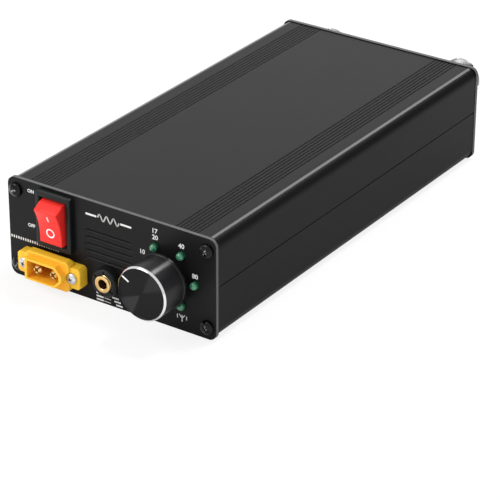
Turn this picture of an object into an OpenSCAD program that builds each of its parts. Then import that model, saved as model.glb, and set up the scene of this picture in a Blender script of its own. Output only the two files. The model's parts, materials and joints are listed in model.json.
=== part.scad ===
// A short-wave linear amplifier in a split, extruded desk case.
// X runs to the right as seen from the front, Y to the back and Z up. Z = 0 is the surface that the
// case stands on, and the origin is under the middle of the case.

/* [End panels] */
// Width of the end panels
panel_w = 88; // [86:0.5:94]
// Height of the end panels
panel_h = 38; // [37:0.5:42]
// Thickness of the end panels
panel_t = 1.6; // [1.2:0.1:2.4]
// Corner radius of the end panels
panel_r = 3; // [1.5:0.5:3.5]
// How far the panels stand proud of the case at each side
panel_over_x = 0.1; // [0.05:0.05:0.3]
// How far the panels stand proud of the case above and below
panel_over_z = 0.3; // [0.1:0.05:0.6]
// Panel screw's distance from the side edge
screw_in_x = 3.6; // [3.4:0.1:4]
// Panel screw's distance from the top or bottom edge
screw_in_z = 4.6; // [4.2:0.1:5.2]

/* [Case] */
// Length of the extruded case
case_l = 171; // [168:1:200]
// Outer corner radius of the case
case_r = 4; // [3:0.5:5]
// Wall thickness of the case
wall = 2; // [1.6:0.1:2.3]
// Height of the outer seam above the middle on the right-hand side
seam_up = 1; // [0.6:0.1:2]
// Height of the tongue inside the seam
tongue_h = 1.6; // [1:0.1:2.4]
// Width of the fine V along each outer seam
seam_v = 0.4; // [0.2:0.05:0.6]
// Number of grooves in each group
groove_n = 7; // [3:1:8]
// Spacing of the grooves
groove_pitch = 1.45; // [1.2:0.05:1.6]
// Width of a groove
groove_w = 0.7; // [0.4:0.1:0.9]
// Depth of a groove
groove_d = 0.35; // [0.2:0.05:0.6]
// Distance from the side of the case to the outermost groove
groove_in = 8.8; // [7:0.2:10]
// How far the board rails stand in from the side walls
rail_d = 1.6; // [1.2:0.1:2]
// Thickness of a board rail
rail_t = 1.2; // [1:0.1:1.6]
// Outer radius of the screw channels in the corners
boss_r = 2.9; // [2.6:0.1:3]

/* [Panel screws] */
// Shank radius
screw_r = 1.3; // [1.1:0.1:1.5]
// Head radius
screw_head_r = 2.6; // [2.4:0.1:2.8]
// Head height
screw_head_h = 1.8; // [1.4:0.1:2.2]
// Shank length
screw_l = 8; // [6:0.5:12]

/* [Power switch] */
// Gap from the panel's top edge to the bezel
switch_gap = 1.1; // [0.9:0.1:1.4]
// How far the switch stands to the right of the power socket
switch_shift = 0.9; // [0:0.1:1.5]
// Width of the bezel
bezel_w = 15; // [14.5:0.5:16]
// Thickness of the bezel
bezel_t = 2; // [1.5:0.1:2.2]
// How far the bezel laps over the cut-out at each side
bezel_lap_x = 1.1; // [0.9:0.1:1.3]
// How far the bezel laps over the cut-out above and below
bezel_lap_z = 1.4; // [1.3:0.1:1.6]
// Wall of the switch body
switch_wall = 0.8; // [0.6:0.1:1]
// Depth of the switch body behind the panel's face
switch_depth = 15; // [14:0.5:17]
// Width of the rocker
rocker_w = 9.6; // [9:0.1:10]
// Full swing of the rocker
rocker_swing = 25; // [20:1:26]
// Rocker pin radius
rocker_pin_r = 1; // [0.8:0.1:1.2]
// Full swing of the contact lever
lever_swing = 14; // [10:1:15]

/* [Power socket] */
// Gap between the switch and the power socket
socket_gap = 1.5; // [1.2:0.1:1.9]
// Gap from the power socket to the panel's bottom edge
socket_foot = 2.6; // [2.3:0.1:2.9]
// Width over the ears
ear_w = 27.4; // [27:0.2:29]
// Height of the ears
ear_h = 8; // [7.6:0.1:8.6]
// Thickness of the ears
ear_t = 4.2; // [3.4:0.2:4.6]
// Corner cut of the ears
ear_cut = 0.9; // [0.6:0.1:1.2]
// Spacing of the socket's screws
ear_pitch = 20.8; // [20.6:0.1:21.2]
// Width of the block between the ears
block_w = 19; // [18.4:0.1:19.4]
// Height of the block between the ears
block_h = 11.6; // [11.2:0.1:12]
// How far the block starts off the panel
block_back = 1.9; // [1.6:0.1:2.2]
// How far the block stands out of the panel
block_out = 5; // [4.8:0.1:5.4]
// Width of the shroud
shroud_w = 16.2; // [15.8:0.1:16.6]
// Height of the shroud
shroud_h = 8.2; // [8:0.1:8.6]
// How far the shroud stands out of the panel
shroud_out = 7.5; // [7:0.1:8.5]
// Width of the plug's cavity
cavity_w = 13.9; // [13.6:0.1:14.2]
// Height of the plug's cavity
cavity_h = 6.6; // [6.2:0.1:7]
// Spacing of the power pins
pin_pitch = 7.2; // [6.8:0.1:7.4]
// Radius of the power pins
pin_r = 1.75; // [1.5:0.05:1.9]
// How far the pins stay behind the shroud's rim
pin_back = 1.2; // [0.8:0.1:2]
// Screw shank radius
ear_screw_r = 1.2; // [1:0.1:1.4]
// Screw head radius
ear_head_r = 2.1; // [1.9:0.1:2.2]

/* [Key jack] */
// Gap between the power socket and the jack's collar nut
jack_gap = 4.2; // [3:0.1:5]
// Height of the jack's axis
jack_z = 9.8; // [9:0.2:10.6]
// Bore of the jack
jack_bore_r = 1.8; // [1.75:0.05:1.9]
// Radius of the threaded bush
bush_r = 3.2; // [3:0.1:3.4]
// How far the bush stands out of the panel
bush_out = 4; // [3:0.2:5]
// Radius of the collar nut
collar_r = 5.3; // [4.8:0.1:5.8]
// Thickness of the collar nut
collar_t = 3.4; // [2.8:0.1:3.6]

/* [Vents] */
// Middle of the front vents, to the right of the middle of the panel
mid_x = -0.7; // [-1.5:0.1:0.5]
// Number of vent slots
vent_n = 5; // [3:1:5]
// Length of a vent slot
vent_l = 20; // [16:0.5:21]
// Height of a vent slot
vent_h = 1.1; // [0.8:0.1:1.4]
// Spacing of the vent slots
vent_pitch = 2.6; // [2.2:0.1:2.7]
// Height of the middle vent slot
vent_z = 21.4; // [21:0.1:23]

/* [Band dial] */
// Distance from the panel's right edge to the dial's axis
dial_in = 19.5; // [19:0.1:21]
// Radius of the knob
knob_r = 10.2; // [9.6:0.1:10.6]
// Height of the knob
knob_h = 11.8; // [10:0.2:14]
// Gap between the lamps and the knob
knob_gap = 1.5; // [1:0.1:2]
// Chamfer of the knob's front rim
knob_chamfer = 0.6; // [0.3:0.1:1]
// Turn of the pointer from straight up, to the left
pointer_turn = 60; // [-90:30:90]
// Radius of the shaft
shaft_r = 3; // [2.6:0.1:3.1]
// Radius of the selector's bush
selector_bush_r = 4; // [3.8:0.1:4.4]
// Radius of the selector body
selector_r = 8.5; // [8.2:0.1:8.8]
// Depth of the selector body
selector_depth = 9; // [8:0.5:10]
// Radius of the ring of lamps
ring_r = 11; // [10.9:0.1:11.6]
// Radius of a lamp
lamp_r = 1.5; // [1.4:0.05:1.5]
// How far a lamp stands out of the panel
lamp_out = 2.1; // [1.6:0.1:2.4]
// Radius of the lamp board
lamp_board_r = 14; // [13.8:0.2:14.6]

/* [Rear sockets] */
// Distance of each socket's axis from the panel's side edge
coax_x = 15.4; // [15:0.2:18]
// Distance of the sockets' axes from the panel's top edge
coax_z = 13.1; // [12.8:0.1:15]
// Radius of the sockets' thread
coax_r = 7.94; // [7.9:0.01:8]
// Bore of the threaded shell
coax_bore_r = 6.2; // [6:0.1:6.4]
// How far the antenna socket stands out
coax_out = 15.4; // [14:0.2:18]
// How much shorter the input socket is
input_short = 2.9; // [0:0.1:4]
// Flange radius
coax_flange_r = 10.5; // [10:0.1:11]
// Flange thickness
coax_flange_t = 2; // [1.6:0.1:2.6]
// Bore of the centre contact
coax_pin_r = 2; // [1.9:0.05:2.1]

/* [Board] */
// Height of the board above the case floor
board_up = 7.5; // [7.4:0.1:8.2]
// Thickness of the boards
board_t = 1.6; // [1.4:0.1:1.8]
// Distance from the front face to the board
board_front = 27; // [26:0.5:30]
// Distance from the rear face to the board
board_rear = 18; // [17:0.5:20]
// Thickness of the heat spreader
spreader_t = 5.2; // [4.6:0.1:5.2]
// Width of the heat spreader
spreader_w = 60; // [52:1:70]
// Length of the heat spreader
spreader_l = 44; // [40:1:48]
// Outer radius of the output transformer's cores
core_r = 7; // [6:0.2:7.4]
// Length of the output transformer's cores
core_l = 28; // [24:1:28]
// Outer radius of the filter coils
toroid_r = 6.4; // [5.6:0.1:6.6]

/* [Hidden] */
$fn = 48;

run_gap = 0.05;    // radial clearance of a shaft in its bearing
fit_gap = 0.1;     // clearance of a piece in its cut-out
part_gap = 0.2;    // least gap between neighbours on one panel
cut = 1;           // how far a cutter runs past the face that it cuts

mid_z = panel_h / 2;
case_w = panel_w - 2 * panel_over_x;
case_h = panel_h - 2 * panel_over_z;
inner_x = case_w / 2 - wall;
floor_z = panel_over_z + wall;
front_y = -case_l / 2 - panel_t;
rear_y = -front_y;
screw_x = panel_w / 2 - screw_in_x;
screw_z = mid_z - screw_in_z;
screw_tap_r = screw_r + run_gap;
screw_hole_r = screw_r + 0.3;

bezel_h = panel_h - switch_gap - socket_gap - block_h - socket_foot;
cutout_w = bezel_w - 2 * bezel_lap_x;
cutout_h = bezel_h - 2 * bezel_lap_z;
switch_z = panel_h - switch_gap - bezel_h / 2;
socket_x = -screw_x + screw_head_r + part_gap + ear_w / 2;
socket_z = socket_foot + block_h / 2;
switch_x = socket_x + switch_shift;
rocker_in = 0.5;                                   // the rocker's axis, behind the panel's face
rocker_reach = cutout_h / 2 - switch_wall - 0.1;   // radius that the rocker's ends stay within
plunger_r = 1.2;
plunger_reach = 6.5;
lever_z = -rocker_in - plunger_reach - 1.2;
lever_l = 12;
lever_t = 0.6;
lever_pivot_r = 0.55;

socket_body_w = cavity_w + 1.8;
socket_body_h = cavity_h + 1.8;
socket_depth = 13;
block_cut = 1.2;
head_gap = 0.15;
pin_tip = shroud_out - pin_back;
pin_cup = socket_depth + 5;
cavity_floor = -3;
nut_t = 1.8;

jack_x = socket_x + ear_w / 2 + jack_gap + collar_r;
jack_depth = 12.8;
jack_side = 9;
jack_room_r = jack_bore_r + 0.8;                   // the body's bore, behind the bush
jack_touch_x = jack_bore_r + fit_gap;              // the contacts' bends reach in this far
jack_contact_x = jack_side / 2 - 0.7;
jack_contact_l = 9;
jack_tail_l = 3.8;

dial_x = panel_w / 2 - dial_in;
dial_z = mid_z;
lamp_turns = [90, 30, -30, -90, -150];              // turn of each lamp from straight up
knob_base = lamp_out + knob_gap;
knob_top = knob_base + knob_h;
shaft_tip = knob_top - 2.4;
washer_t = 0.5;
selector_nut_t = 1.8;
wafer_t = 1.4;
lamp_board_z = panel_t + selector_depth + wafer_t + 1.2;

board_z = floor_z + board_up;
board_top = board_z + board_t;
board_y0 = front_y + board_front;
board_y1 = rear_y - board_rear;
board_w = 2 * (inner_x - 0.25);

coil_h = 6;
coil_wire_r = 0.3;
coil_core_w = 2.2;
coil_edge = 3.75;                                  // from the outer coils to the board's sides
coil_front = 2.6;                                  // from the first row of coils to the board's front edge
coil_row_gap = 3.2;
coil_pitch = (board_w / 2 - coil_edge - toroid_r) / 1.5;
coil_cols = [for (i = [-1.5 : 1 : 1.5]) i * coil_pitch];
coil_row_1 = board_y0 + coil_front + toroid_r;
coil_row_2 = coil_row_1 + 2 * toroid_r + coil_row_gap;
film_w = 2.6;
film_l = 8;
film_h = 7;

relay_l = 15;
relay_w = 9;
relay_h = 10;
relay_gap = 2;
relay_y = coil_row_2 + toroid_r + relay_gap + relay_l / 2;
relay_end = relay_y + relay_l / 2;
changeover_w = 13;
changeover_l = 19;
changeover_h = 15;
changeover_edge = 9.15;
changeover_x = board_w / 2 - changeover_edge - changeover_w / 2;
rear_margin = 2.5;
changeover_y = board_y1 - rear_margin - changeover_l / 2;
can_r = 5;
can_h = 13;
can_gap = 3;
regulator_w = 10;
regulator_t = 4.4;
regulator_h = 9;
regulator_tab_h = 6.5;
regulator_edge = 6.65;
regulator_x = board_w / 2 - regulator_edge - regulator_w / 2;
regulator_y = changeover_y - changeover_l / 2 - 3.2 - regulator_t / 2;
holder_w = 8;
holder_l = 20;
holder_h = 9;
holder_floor = 3;
holder_wall = 1.5;
holder_edge = 5.65;
holder_x = -board_w / 2 + holder_edge + holder_w / 2;
holder_y = relay_end + relay_gap + holder_l / 2;

core_bore_r = 3;
winding_r = 1.2;
plate_t = 1;
core_reach = core_l / 2 + core_bore_r + winding_r;
core_y = coil_row_2 + toroid_r + 1.5 + core_reach;
input_r = 3.4;
input_bore_r = 1.6;
input_l = 12;
input_wire_r = 0.6;
input_edge = 4.65;
input_x = board_w / 2 - input_edge - 2 * input_r - 0.2;
input_y = relay_end + relay_gap + input_l / 2 + input_bore_r + 2 * input_wire_r;
feed = [-(coil_cols[3] - relay_w / 2 + 2 * core_r + 1) / 2, relay_end - 2.3];   // where the supply meets the board

pad_t = 0.3;
die_w = 10;
die_l = 9.2;
die_h = 4.4;
die_x = die_w / 2 + 4;
tab_y = 8;                                         // from a transistor's middle to its screw
window_w = 2 * die_x + die_w + 10;
window_y0 = core_y + core_reach + 1.3;
die_y = window_y0 + die_l / 2 + 4.9;
window_y1 = die_y + tab_y + 4;
spreader_y = die_y + 2;
spreader_top = floor_z + spreader_t;
spreader_screw_x = spreader_w / 2 - 6;
spreader_screw_r = 1.5;

module at_front(x, z) translate([x, front_y, z]) rotate([90, 0, 0]) children();
module at_rear(x, z) translate([x, rear_y, z]) rotate([90, 0, 180]) children();
module on_board(x, y) translate([x, y, board_top]) children();
module corners() for (x = [-1, 1], z = [-1, 1]) translate([x * screw_x, mid_z + z * screw_z]) children();
module in_box(w, d, h) translate([-w / 2, -d / 2, 0]) cube([w, d, h]);

module round_rect(w, h, r) {
    square([w - 2 * r, h], center = true);
    square([w, h - 2 * r], center = true);
    for (x = [-1, 1], y = [-1, 1]) translate([x * (w / 2 - r), y * (h / 2 - r)]) circle(r);
}

// A rectangle with its four corners cut off straight.
module cut_rect(w, h, c) polygon([
    for (p = [[1, 1, 0], [1, 1, 1], [-1, 1, 1], [-1, 1, 0], [-1, -1, 0], [-1, -1, 1], [1, -1, 1], [1, -1, 0]])
        [p[0] * (w / 2 - c * p[2]), p[1] * (h / 2 - c * (1 - p[2]))]
]);

// A straight round bar from one point to another.
module rod(a, b, r) {
    d = b - a;
    translate(a) rotate([0, acos(d[2] / norm(d)), atan2(d[1], d[0])]) cylinder(h = norm(d), r = r);
}

// A wire along a list of points, rounded where it bends.
module wire(points, r) {
    for (i = [1 : len(points) - 1]) rod(points[i - 1], points[i], r);
    for (i = [1 : len(points) - 2]) translate(points[i]) sphere(1.06 * r);
}

// A domed head with a cross recess, seated at z = 0, on a plain shank.
module pan_screw(head_r, head_h, r, l) {
    dome_r = 1.6 * head_r;
    difference() {
        intersection() {
            cylinder(h = head_h, r = head_r);
            translate([0, 0, head_h - dome_r]) sphere(dome_r);
        }
        for (turn = [0, 90]) rotate(turn)
            translate([-0.6 * head_r, -0.12 * head_r, 0.45 * head_h]) cube([1.2 * head_r, 0.24 * head_r, head_h]);
    }
    translate([0, 0, -l]) cylinder(h = l, r = r);
}

module hex_nut(across, t, bore) difference() {
    cylinder(h = t, r = across / sqrt(3), $fn = 6);
    translate([0, 0, -cut]) cylinder(h = t + 2 * cut, r = bore);
}

// ---- case ----

// One half of the extrusion, drawn about the middle of the case with its open side up.
module half_profile() {
    strip = (wall - fit_gap) / 2;
    half_w = case_w / 2;
    difference() {
        union() {
            intersection() {
                difference() {
                    round_rect(case_w, case_h, case_r);
                    round_rect(case_w - 2 * wall, case_h - 2 * wall, case_r - wall);
                }
                union() {
                    translate([0, -case_h]) square([case_w, case_h + seam_up - tongue_h]);
                    translate([half_w - strip, -cut]) square([strip, cut + seam_up]);
                    translate([-case_w, -case_h]) square([case_w, case_h - seam_up]);
                    translate([-inner_x - strip, -seam_up - cut])
                        square([strip, cut + tongue_h - fit_gap]);
                }
            }
            for (x = [-1, 1]) translate([x * screw_x, -screw_z]) circle(boss_r);
            for (x = [-1, 1], z = [-rail_t, board_t + fit_gap])
                translate([x * (inner_x - rail_d / 2 + 0.1), board_z - mid_z + z + rail_t / 2])
                    square([rail_d + 0.2, rail_t], center = true);
        }
        for (x = [-1, 1]) translate([x * half_w, x * seam_up])
            rotate(45) square(seam_v / sqrt(2), center = true);
        for (x = [-1, 1]) translate([x * screw_x, -screw_z]) {
            circle(screw_tap_r);
            translate([x > 0 ? -boss_r - cut : 0, -0.5]) square([boss_r + cut, 1]);
        }
        for (x = [-1, 1], i = [0 : groove_n - 1])
            translate([x * (case_w / 2 - groove_in - i * groove_pitch), -case_h / 2 + groove_d / 2 - cut / 2])
                square([groove_w, groove_d + cut], center = true);
    }
}

module half_case() translate([0, case_l / 2, mid_z]) rotate([90, 0, 0]) linear_extrude(case_l) half_profile();

module spreader_holes() for (x = [-1, 1]) translate([x * spreader_screw_x, spreader_y, panel_over_z]) children();

module lower_case() color("#202123") difference() {
    half_case();
    spreader_holes() {
        translate([0, 0, -cut]) cylinder(h = wall + 2 * cut, r = spreader_screw_r + fit_gap);
        translate([0, 0, -0.01]) cylinder(h = 1.4, r1 = 2 * spreader_screw_r, r2 = spreader_screw_r + fit_gap);
    }
}

module upper_case() color("#202123") translate([0, 0, 2 * mid_z]) rotate([0, 180, 0]) half_case();

module panel_blank() difference() {
    translate([0, mid_z]) round_rect(panel_w, panel_h, panel_r);
    corners() circle(screw_hole_r);
}

module vents() for (i = [0 : vent_n - 1])
    translate([0, vent_z + (i - (vent_n - 1) / 2) * vent_pitch]) round_rect(vent_l, vent_h, 0.49 * vent_h);

module front_panel() color("#232427") at_front(0, 0) translate([0, 0, -panel_t]) linear_extrude(panel_t)
    difference() {
        panel_blank();
        translate([switch_x, switch_z]) square([cutout_w + fit_gap, cutout_h + fit_gap], center = true);
        translate([socket_x, socket_z]) {
            square([socket_body_w + 2 * fit_gap, socket_body_h + 2 * fit_gap], center = true);
            for (x = [-1, 1]) translate([x * ear_pitch / 2, 0]) circle(ear_screw_r + 0.2);
        }
        translate([jack_x, jack_z]) circle(bush_r + fit_gap);
        translate([mid_x, 0]) vents();
        translate([dial_x, dial_z]) {
            circle(selector_bush_r + fit_gap);
            for (turn = lamp_turns) rotate(turn) translate([0, ring_r]) circle(lamp_r + fit_gap);
        }
    }

module rear_panel() color("#232427") at_rear(0, 0) translate([0, 0, -panel_t]) linear_extrude(panel_t)
    difference() {
        panel_blank();
        for (side = [-1, 1]) translate([side * (panel_w / 2 - coax_x), panel_h - coax_z]) circle(coax_r + fit_gap);
        vents();
    }

module panel_screws() corners() pan_screw(screw_head_r, screw_head_h, screw_r, screw_l);
module front_panel_screws() color("#1a1a1c") at_front(0, 0) panel_screws();
module rear_panel_screws() color("#1a1a1c") at_rear(0, 0) panel_screws();

// ---- power switch ----

module switch_body() color("#2b2d2d") at_front(switch_x, switch_z) {
    opening_w = cutout_w - 2 * switch_wall;
    opening_h = cutout_h - 2 * switch_wall;
    difference() {
        union() {
            linear_extrude(bezel_t) round_rect(bezel_w, bezel_h, 0.8);
            translate([-cutout_w / 2, -cutout_h / 2, -switch_depth]) cube([cutout_w, cutout_h, switch_depth]);
            for (x = [-1, 1]) translate([x * cutout_w / 2 - 0.8, -5, -panel_t - fit_gap - 3]) cube([1.6, 10, 3]);
        }
        translate([-opening_w / 2, -opening_h / 2, 1.2 - switch_depth])
            cube([opening_w, opening_h, switch_depth + bezel_t]);
        translate([-cutout_w / 2 - cut, 0, -rocker_in]) rotate([0, 90, 0])
            cylinder(h = cutout_w + 2 * cut, r = rocker_pin_r + run_gap);
        for (y = [0, -lever_l / 2 + 1]) translate([0, y, -switch_depth])
            cube([4.8 + 2 * run_gap, 0.8 + 2 * run_gap, 4], center = true);
    }
}

// The rocker's outline from the side, level, about its own axis.
module rocker_profile() {
    face_z = 4.6;
    end_z = face_z + 0.95;
    top_y = rocker_reach - 1.5;
    polygon([
        [-top_y, end_z], [0, face_z], [top_y, end_z],
        [rocker_reach - 0.2, 1.8], [rocker_reach - 0.25, -1.5], [5, -2.2], [2.5, -4],
        [-2.5, -4], [-5, -2.2], [-rocker_reach + 0.25, -1.5], [-rocker_reach + 0.2, 1.8]
    ]);
}

// Children stand in the switch, turned about the rocker's axis to its rest on the O side.
module on_rocker() at_front(switch_x, switch_z) translate([0, 0, -rocker_in]) rotate([rocker_swing / 2, 0, 0])
    children();

module switch_rocker() color("#d42a2a") on_rocker() {
    rotate([90, 0, 90]) translate([0, 0, -rocker_w / 2]) linear_extrude(rocker_w) rocker_profile();
    translate([-cutout_w / 2 + 0.2, 0, 0]) rotate([0, 90, 0]) cylinder(h = cutout_w - 0.4, r = rocker_pin_r);
}

module switch_plunger() color("#c8c8c0") on_rocker() {
    translate([0, 0, plunger_r - plunger_reach]) sphere(plunger_r);
    translate([0, 0, plunger_r - plunger_reach]) cylinder(h = plunger_reach - plunger_r - 4, r = plunger_r);
}

module switch_lever() color("#c98f4a") at_front(switch_x, switch_z) translate([0, 0, lever_z])
    rotate([-lever_swing / 2, 0, 0]) {
        translate([-2, -lever_l / 2, -lever_t / 2]) cube([4, lever_l, lever_t]);
        translate([-2, 0, 0]) rotate([0, 90, 0]) cylinder(h = 4, r = lever_pivot_r);
        translate([0, 1 - lever_l / 2, -lever_t / 2 - 0.5]) cylinder(h = 0.5, r = 1);
    }

module switch_terminals() color("#cfcfca") at_front(switch_x, switch_z) {
    blade = switch_depth + 9;
    drop = lever_l / 2 * sin(lever_swing / 2) + lever_t / 2 + 0.5 + 0.2;
    translate([-2.4, -0.4, -blade]) cube([4.8, 0.8, blade + lever_z - lever_pivot_r - fit_gap]);
    translate([-2.4, 0.6 - lever_l / 2, -blade]) cube([4.8, 0.8, blade + lever_z - drop - 0.1]);
}

// ---- power socket ----

module ear_holes() for (x = [-1, 1]) translate([x * ear_pitch / 2, 0]) children();

// The plug's outline: two square corners on the left and two cut ones on the right.
module plug_profile(w, h) polygon([
    [-w / 2, -h / 2], [w / 2 - 0.35 * h, -h / 2], [w / 2, -0.15 * h],
    [w / 2, 0.15 * h], [w / 2 - 0.35 * h, h / 2], [-w / 2, h / 2]
]);

module power_socket() color("#f2b92c") at_front(socket_x, socket_z) difference() {
    union() {
        linear_extrude(ear_t) cut_rect(ear_w, ear_h, ear_cut);
        translate([0, 0, block_back]) linear_extrude(block_out - block_back) cut_rect(block_w, block_h, block_cut);
        linear_extrude(shroud_out) plug_profile(shroud_w, shroud_h);
        translate([0, 0, -socket_depth]) linear_extrude(socket_depth)
            square([socket_body_w, socket_body_h], center = true);
    }
    translate([0, 0, cavity_floor]) linear_extrude(shroud_out - cavity_floor + cut) plug_profile(cavity_w, cavity_h);
    for (x = [-1, 1]) translate([x * pin_pitch / 2, 0, -socket_depth - cut])
        cylinder(h = socket_depth + 2 * cut, r = pin_r + 0.01);
    translate([0, 0, -cut]) linear_extrude(ear_t + 2 * cut) ear_holes() circle(ear_screw_r + 0.1);
    translate([0, 0, ear_t]) linear_extrude(shroud_out) ear_holes() circle(ear_head_r + head_gap);
}

module power_pins() color("#c9a349") at_front(socket_x, socket_z) for (x = [-1, 1])
    translate([x * pin_pitch / 2, 0, 0]) difference() {
        union() {
            translate([0, 0, -pin_cup]) cylinder(h = pin_cup + pin_tip - 0.6, r = pin_r);
            translate([0, 0, pin_tip - 0.6]) cylinder(h = 0.6, r1 = pin_r, r2 = pin_r - 0.5);
        }
        for (turn = [45, 135]) rotate(turn)
            translate([-2 * pin_r, -0.25, cavity_floor + 2]) cube([4 * pin_r, 0.5, pin_tip - cavity_floor]);
        translate([0, 0, cavity_floor + 2]) cylinder(h = pin_tip - cavity_floor, r = 0.7);
        translate([0, 0, -pin_cup - cut]) cylinder(h = 4 + cut, r = pin_r - 0.5);
    }

module power_socket_screws() color("#c4c6c8") at_front(socket_x, socket_z) translate([0, 0, ear_t]) ear_holes()
    pan_screw(ear_head_r, 1.4, ear_screw_r, ear_t + panel_t + nut_t + 1);

module power_socket_nuts() color("#c4c6c8") at_front(socket_x, socket_z)
    translate([0, 0, -panel_t - nut_t]) ear_holes() rotate(30) hex_nut(4.6, nut_t, ear_screw_r + 0.01);

// ---- key jack ----

module jack_bush() color("#c9a45c") at_front(jack_x, jack_z) difference() {
    union() {
        translate([0, 0, -panel_t]) cylinder(h = panel_t + bush_out - 0.3, r = bush_r);
        translate([0, 0, bush_out - 0.3]) cylinder(h = 0.3, r1 = bush_r, r2 = bush_r - 0.3);
        translate([0, 0, -panel_t - 1]) cylinder(h = 1, r = bush_r + 0.6);
    }
    translate([0, 0, -panel_t - 1 - cut]) cylinder(h = panel_t + bush_out + 1 + 2 * cut, r = jack_bore_r);
}

module jack_collar() color("#1c1c1e") at_front(jack_x, jack_z) difference() {
    union() {
        cylinder(h = collar_t - 0.3, r = collar_r);
        translate([0, 0, collar_t - 0.3]) cylinder(h = 0.3, r1 = collar_r, r2 = collar_r - 0.3);
    }
    translate([0, 0, -cut]) cylinder(h = collar_t + 2 * cut, r = bush_r + 0.01);
}

// The body is open across its back, where the two contacts stand.
module jack_body() color("#18181a") at_front(jack_x, jack_z) difference() {
    translate([-jack_side / 2, -jack_side / 2, -jack_depth])
        cube([jack_side, jack_side, jack_depth - panel_t - 1]);
    translate([0, 0, -jack_depth + 1]) cylinder(h = jack_depth, r = jack_room_r);
    translate([0, 0, -jack_depth + jack_contact_l / 2])
        cube([jack_side + 2 * cut, 2.6, jack_contact_l + 2 * fit_gap], center = true);
}

// Two strips with a bend in each, which reaches in to the plug.
module jack_contacts() color("#cfcfca") at_front(jack_x, jack_z) for (turn = [0, 180]) rotate(turn) {
    translate([jack_contact_x, 0, -jack_depth + jack_contact_l / 2]) cube([0.5, 2.2, jack_contact_l], center = true);
    translate([jack_contact_x, 0, -jack_depth - jack_tail_l / 2]) cube([0.5, 1.4, jack_tail_l], center = true);
    bend = -jack_depth + jack_contact_l / 2 + 1;
    translate([0, 0.8, bend]) rotate([90, 0, 0]) linear_extrude(1.6) polygon([
        [jack_contact_x, -2.2], [jack_touch_x, -0.3], [jack_touch_x, 0.3], [jack_contact_x, 2.2],
        [jack_contact_x, 1.6], [jack_touch_x + 0.5, 0], [jack_contact_x, -1.6]
    ]);
}

// ---- band dial ----

// Children stand on the dial's axis, with z outwards from the panel's face.
module on_dial() at_front(dial_x, dial_z) children();

module selector_body() color("#9a9c9e") on_dial() difference() {
    union() {
        translate([0, 0, -panel_t - selector_depth]) cylinder(h = selector_depth, r = selector_r);
        cylinder(h = knob_base - 0.6, r = selector_bush_r);
        translate([0, 0, -panel_t]) cylinder(h = panel_t, r = selector_bush_r);
    }
    translate([0, 0, -panel_t - selector_depth]) cylinder(h = selector_depth + 10, r = shaft_r + run_gap);
    translate([0, 0, -panel_t - selector_depth - cut]) cylinder(h = selector_depth - 2 + cut, r = selector_r - 1);
}

module selector_shaft() color("#b9bbbd") on_dial() rotate(pointer_turn) {
    translate([0, 0, -panel_t - selector_depth + 1]) cylinder(h = selector_depth + panel_t - 1 + shaft_tip, r = shaft_r);
    translate([0, 0, -panel_t - selector_depth + 1]) cylinder(h = 1.6, r = selector_r - 1.6);
}

module selector_wafer() color("#a8743c") on_dial() {
    translate([0, 0, -panel_t - selector_depth - wafer_t]) cylinder(h = wafer_t, r = selector_r);
    for (turn = [0 : 60 : 300]) rotate(turn) translate([selector_r - 2, 0, -lamp_board_z])
        cylinder(h = lamp_board_z - panel_t - selector_depth - wafer_t, r = 0.5);
}

module selector_washer() color("#b9bbbd") on_dial() difference() {
    cylinder(h = washer_t, r = selector_bush_r + 1.9);
    translate([0, 0, -cut]) cylinder(h = washer_t + 2 * cut, r = selector_bush_r + 0.01);
}

module selector_nut() color("#b9bbbd") on_dial() translate([0, 0, washer_t])
    hex_nut(2 * selector_bush_r + 2.4, selector_nut_t, selector_bush_r + 0.01);

// Half of the knob's section, from the axis outwards.
module knob_profile() {
    skirt = 0.25;
    polygon([
        [0, knob_base], [knob_r - 0.4, knob_base], [knob_r, knob_base + 0.4], [knob_r, knob_base + 1.1],
        [knob_r - skirt, knob_base + 1.5], [knob_r - skirt, knob_top - knob_chamfer],
        [knob_r - skirt - knob_chamfer, knob_top], [knob_r - skirt - knob_chamfer - 0.3, knob_top],
        [knob_r - skirt - knob_chamfer - 0.5, knob_top - 0.2], [0, knob_top - 0.2]
    ]);
}

module on_knob_side() translate([0, 0, knob_base + 3]) rotate([0, -90, 0]) children();

module knob() color("#1b1b1d") on_dial() rotate(pointer_turn) difference() {
    rotate_extrude($fn = 96) knob_profile();
    translate([0, 0, -cut]) cylinder(h = shaft_tip + 0.1 + cut, r = shaft_r + 0.01);
    translate([0, 0, -cut]) cylinder(h = knob_base + 0.6 + cut, r = selector_bush_r + 2.6);
    on_knob_side() translate([0, 0, shaft_r - 1]) cylinder(h = knob_r, r = 1.5);
    translate([-0.45, 0.58 * knob_r, knob_top - 0.4]) cube([0.9, 0.34 * knob_r, 1]);
}

module knob_grub_screw() color("#55575a") on_dial() rotate(pointer_turn) on_knob_side() difference() {
    translate([0, 0, shaft_r + 0.01]) cylinder(h = 5, r = 1.49);
    translate([0, 0, shaft_r + 3.5]) cylinder(h = 3, r = 0.75, $fn = 6);
}

module at_lamps() on_dial() for (turn = lamp_turns) rotate(turn) translate([0, ring_r, 0]) children();

module lamps() color("#2c6e45") at_lamps() {
    translate([0, 0, lamp_out - lamp_r]) sphere(lamp_r);
    translate([0, 0, -panel_t - 1]) cylinder(h = panel_t + 1 + lamp_out - lamp_r, r = lamp_r);
    translate([0, 0, -panel_t - 1]) cylinder(h = 0.9, r = lamp_r + 0.35);
}

module lamp_legs() color("#cfcfca") at_lamps() for (x = [-1, 1])
    translate([x * 0.9, 0, -lamp_board_z]) cylinder(h = lamp_board_z - panel_t - 1, r = 0.25);

module lamp_board() color("#1f5a3a") on_dial() translate([0, 0, -lamp_board_z - board_t])
    cylinder(h = board_t, r = lamp_board_r);

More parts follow.
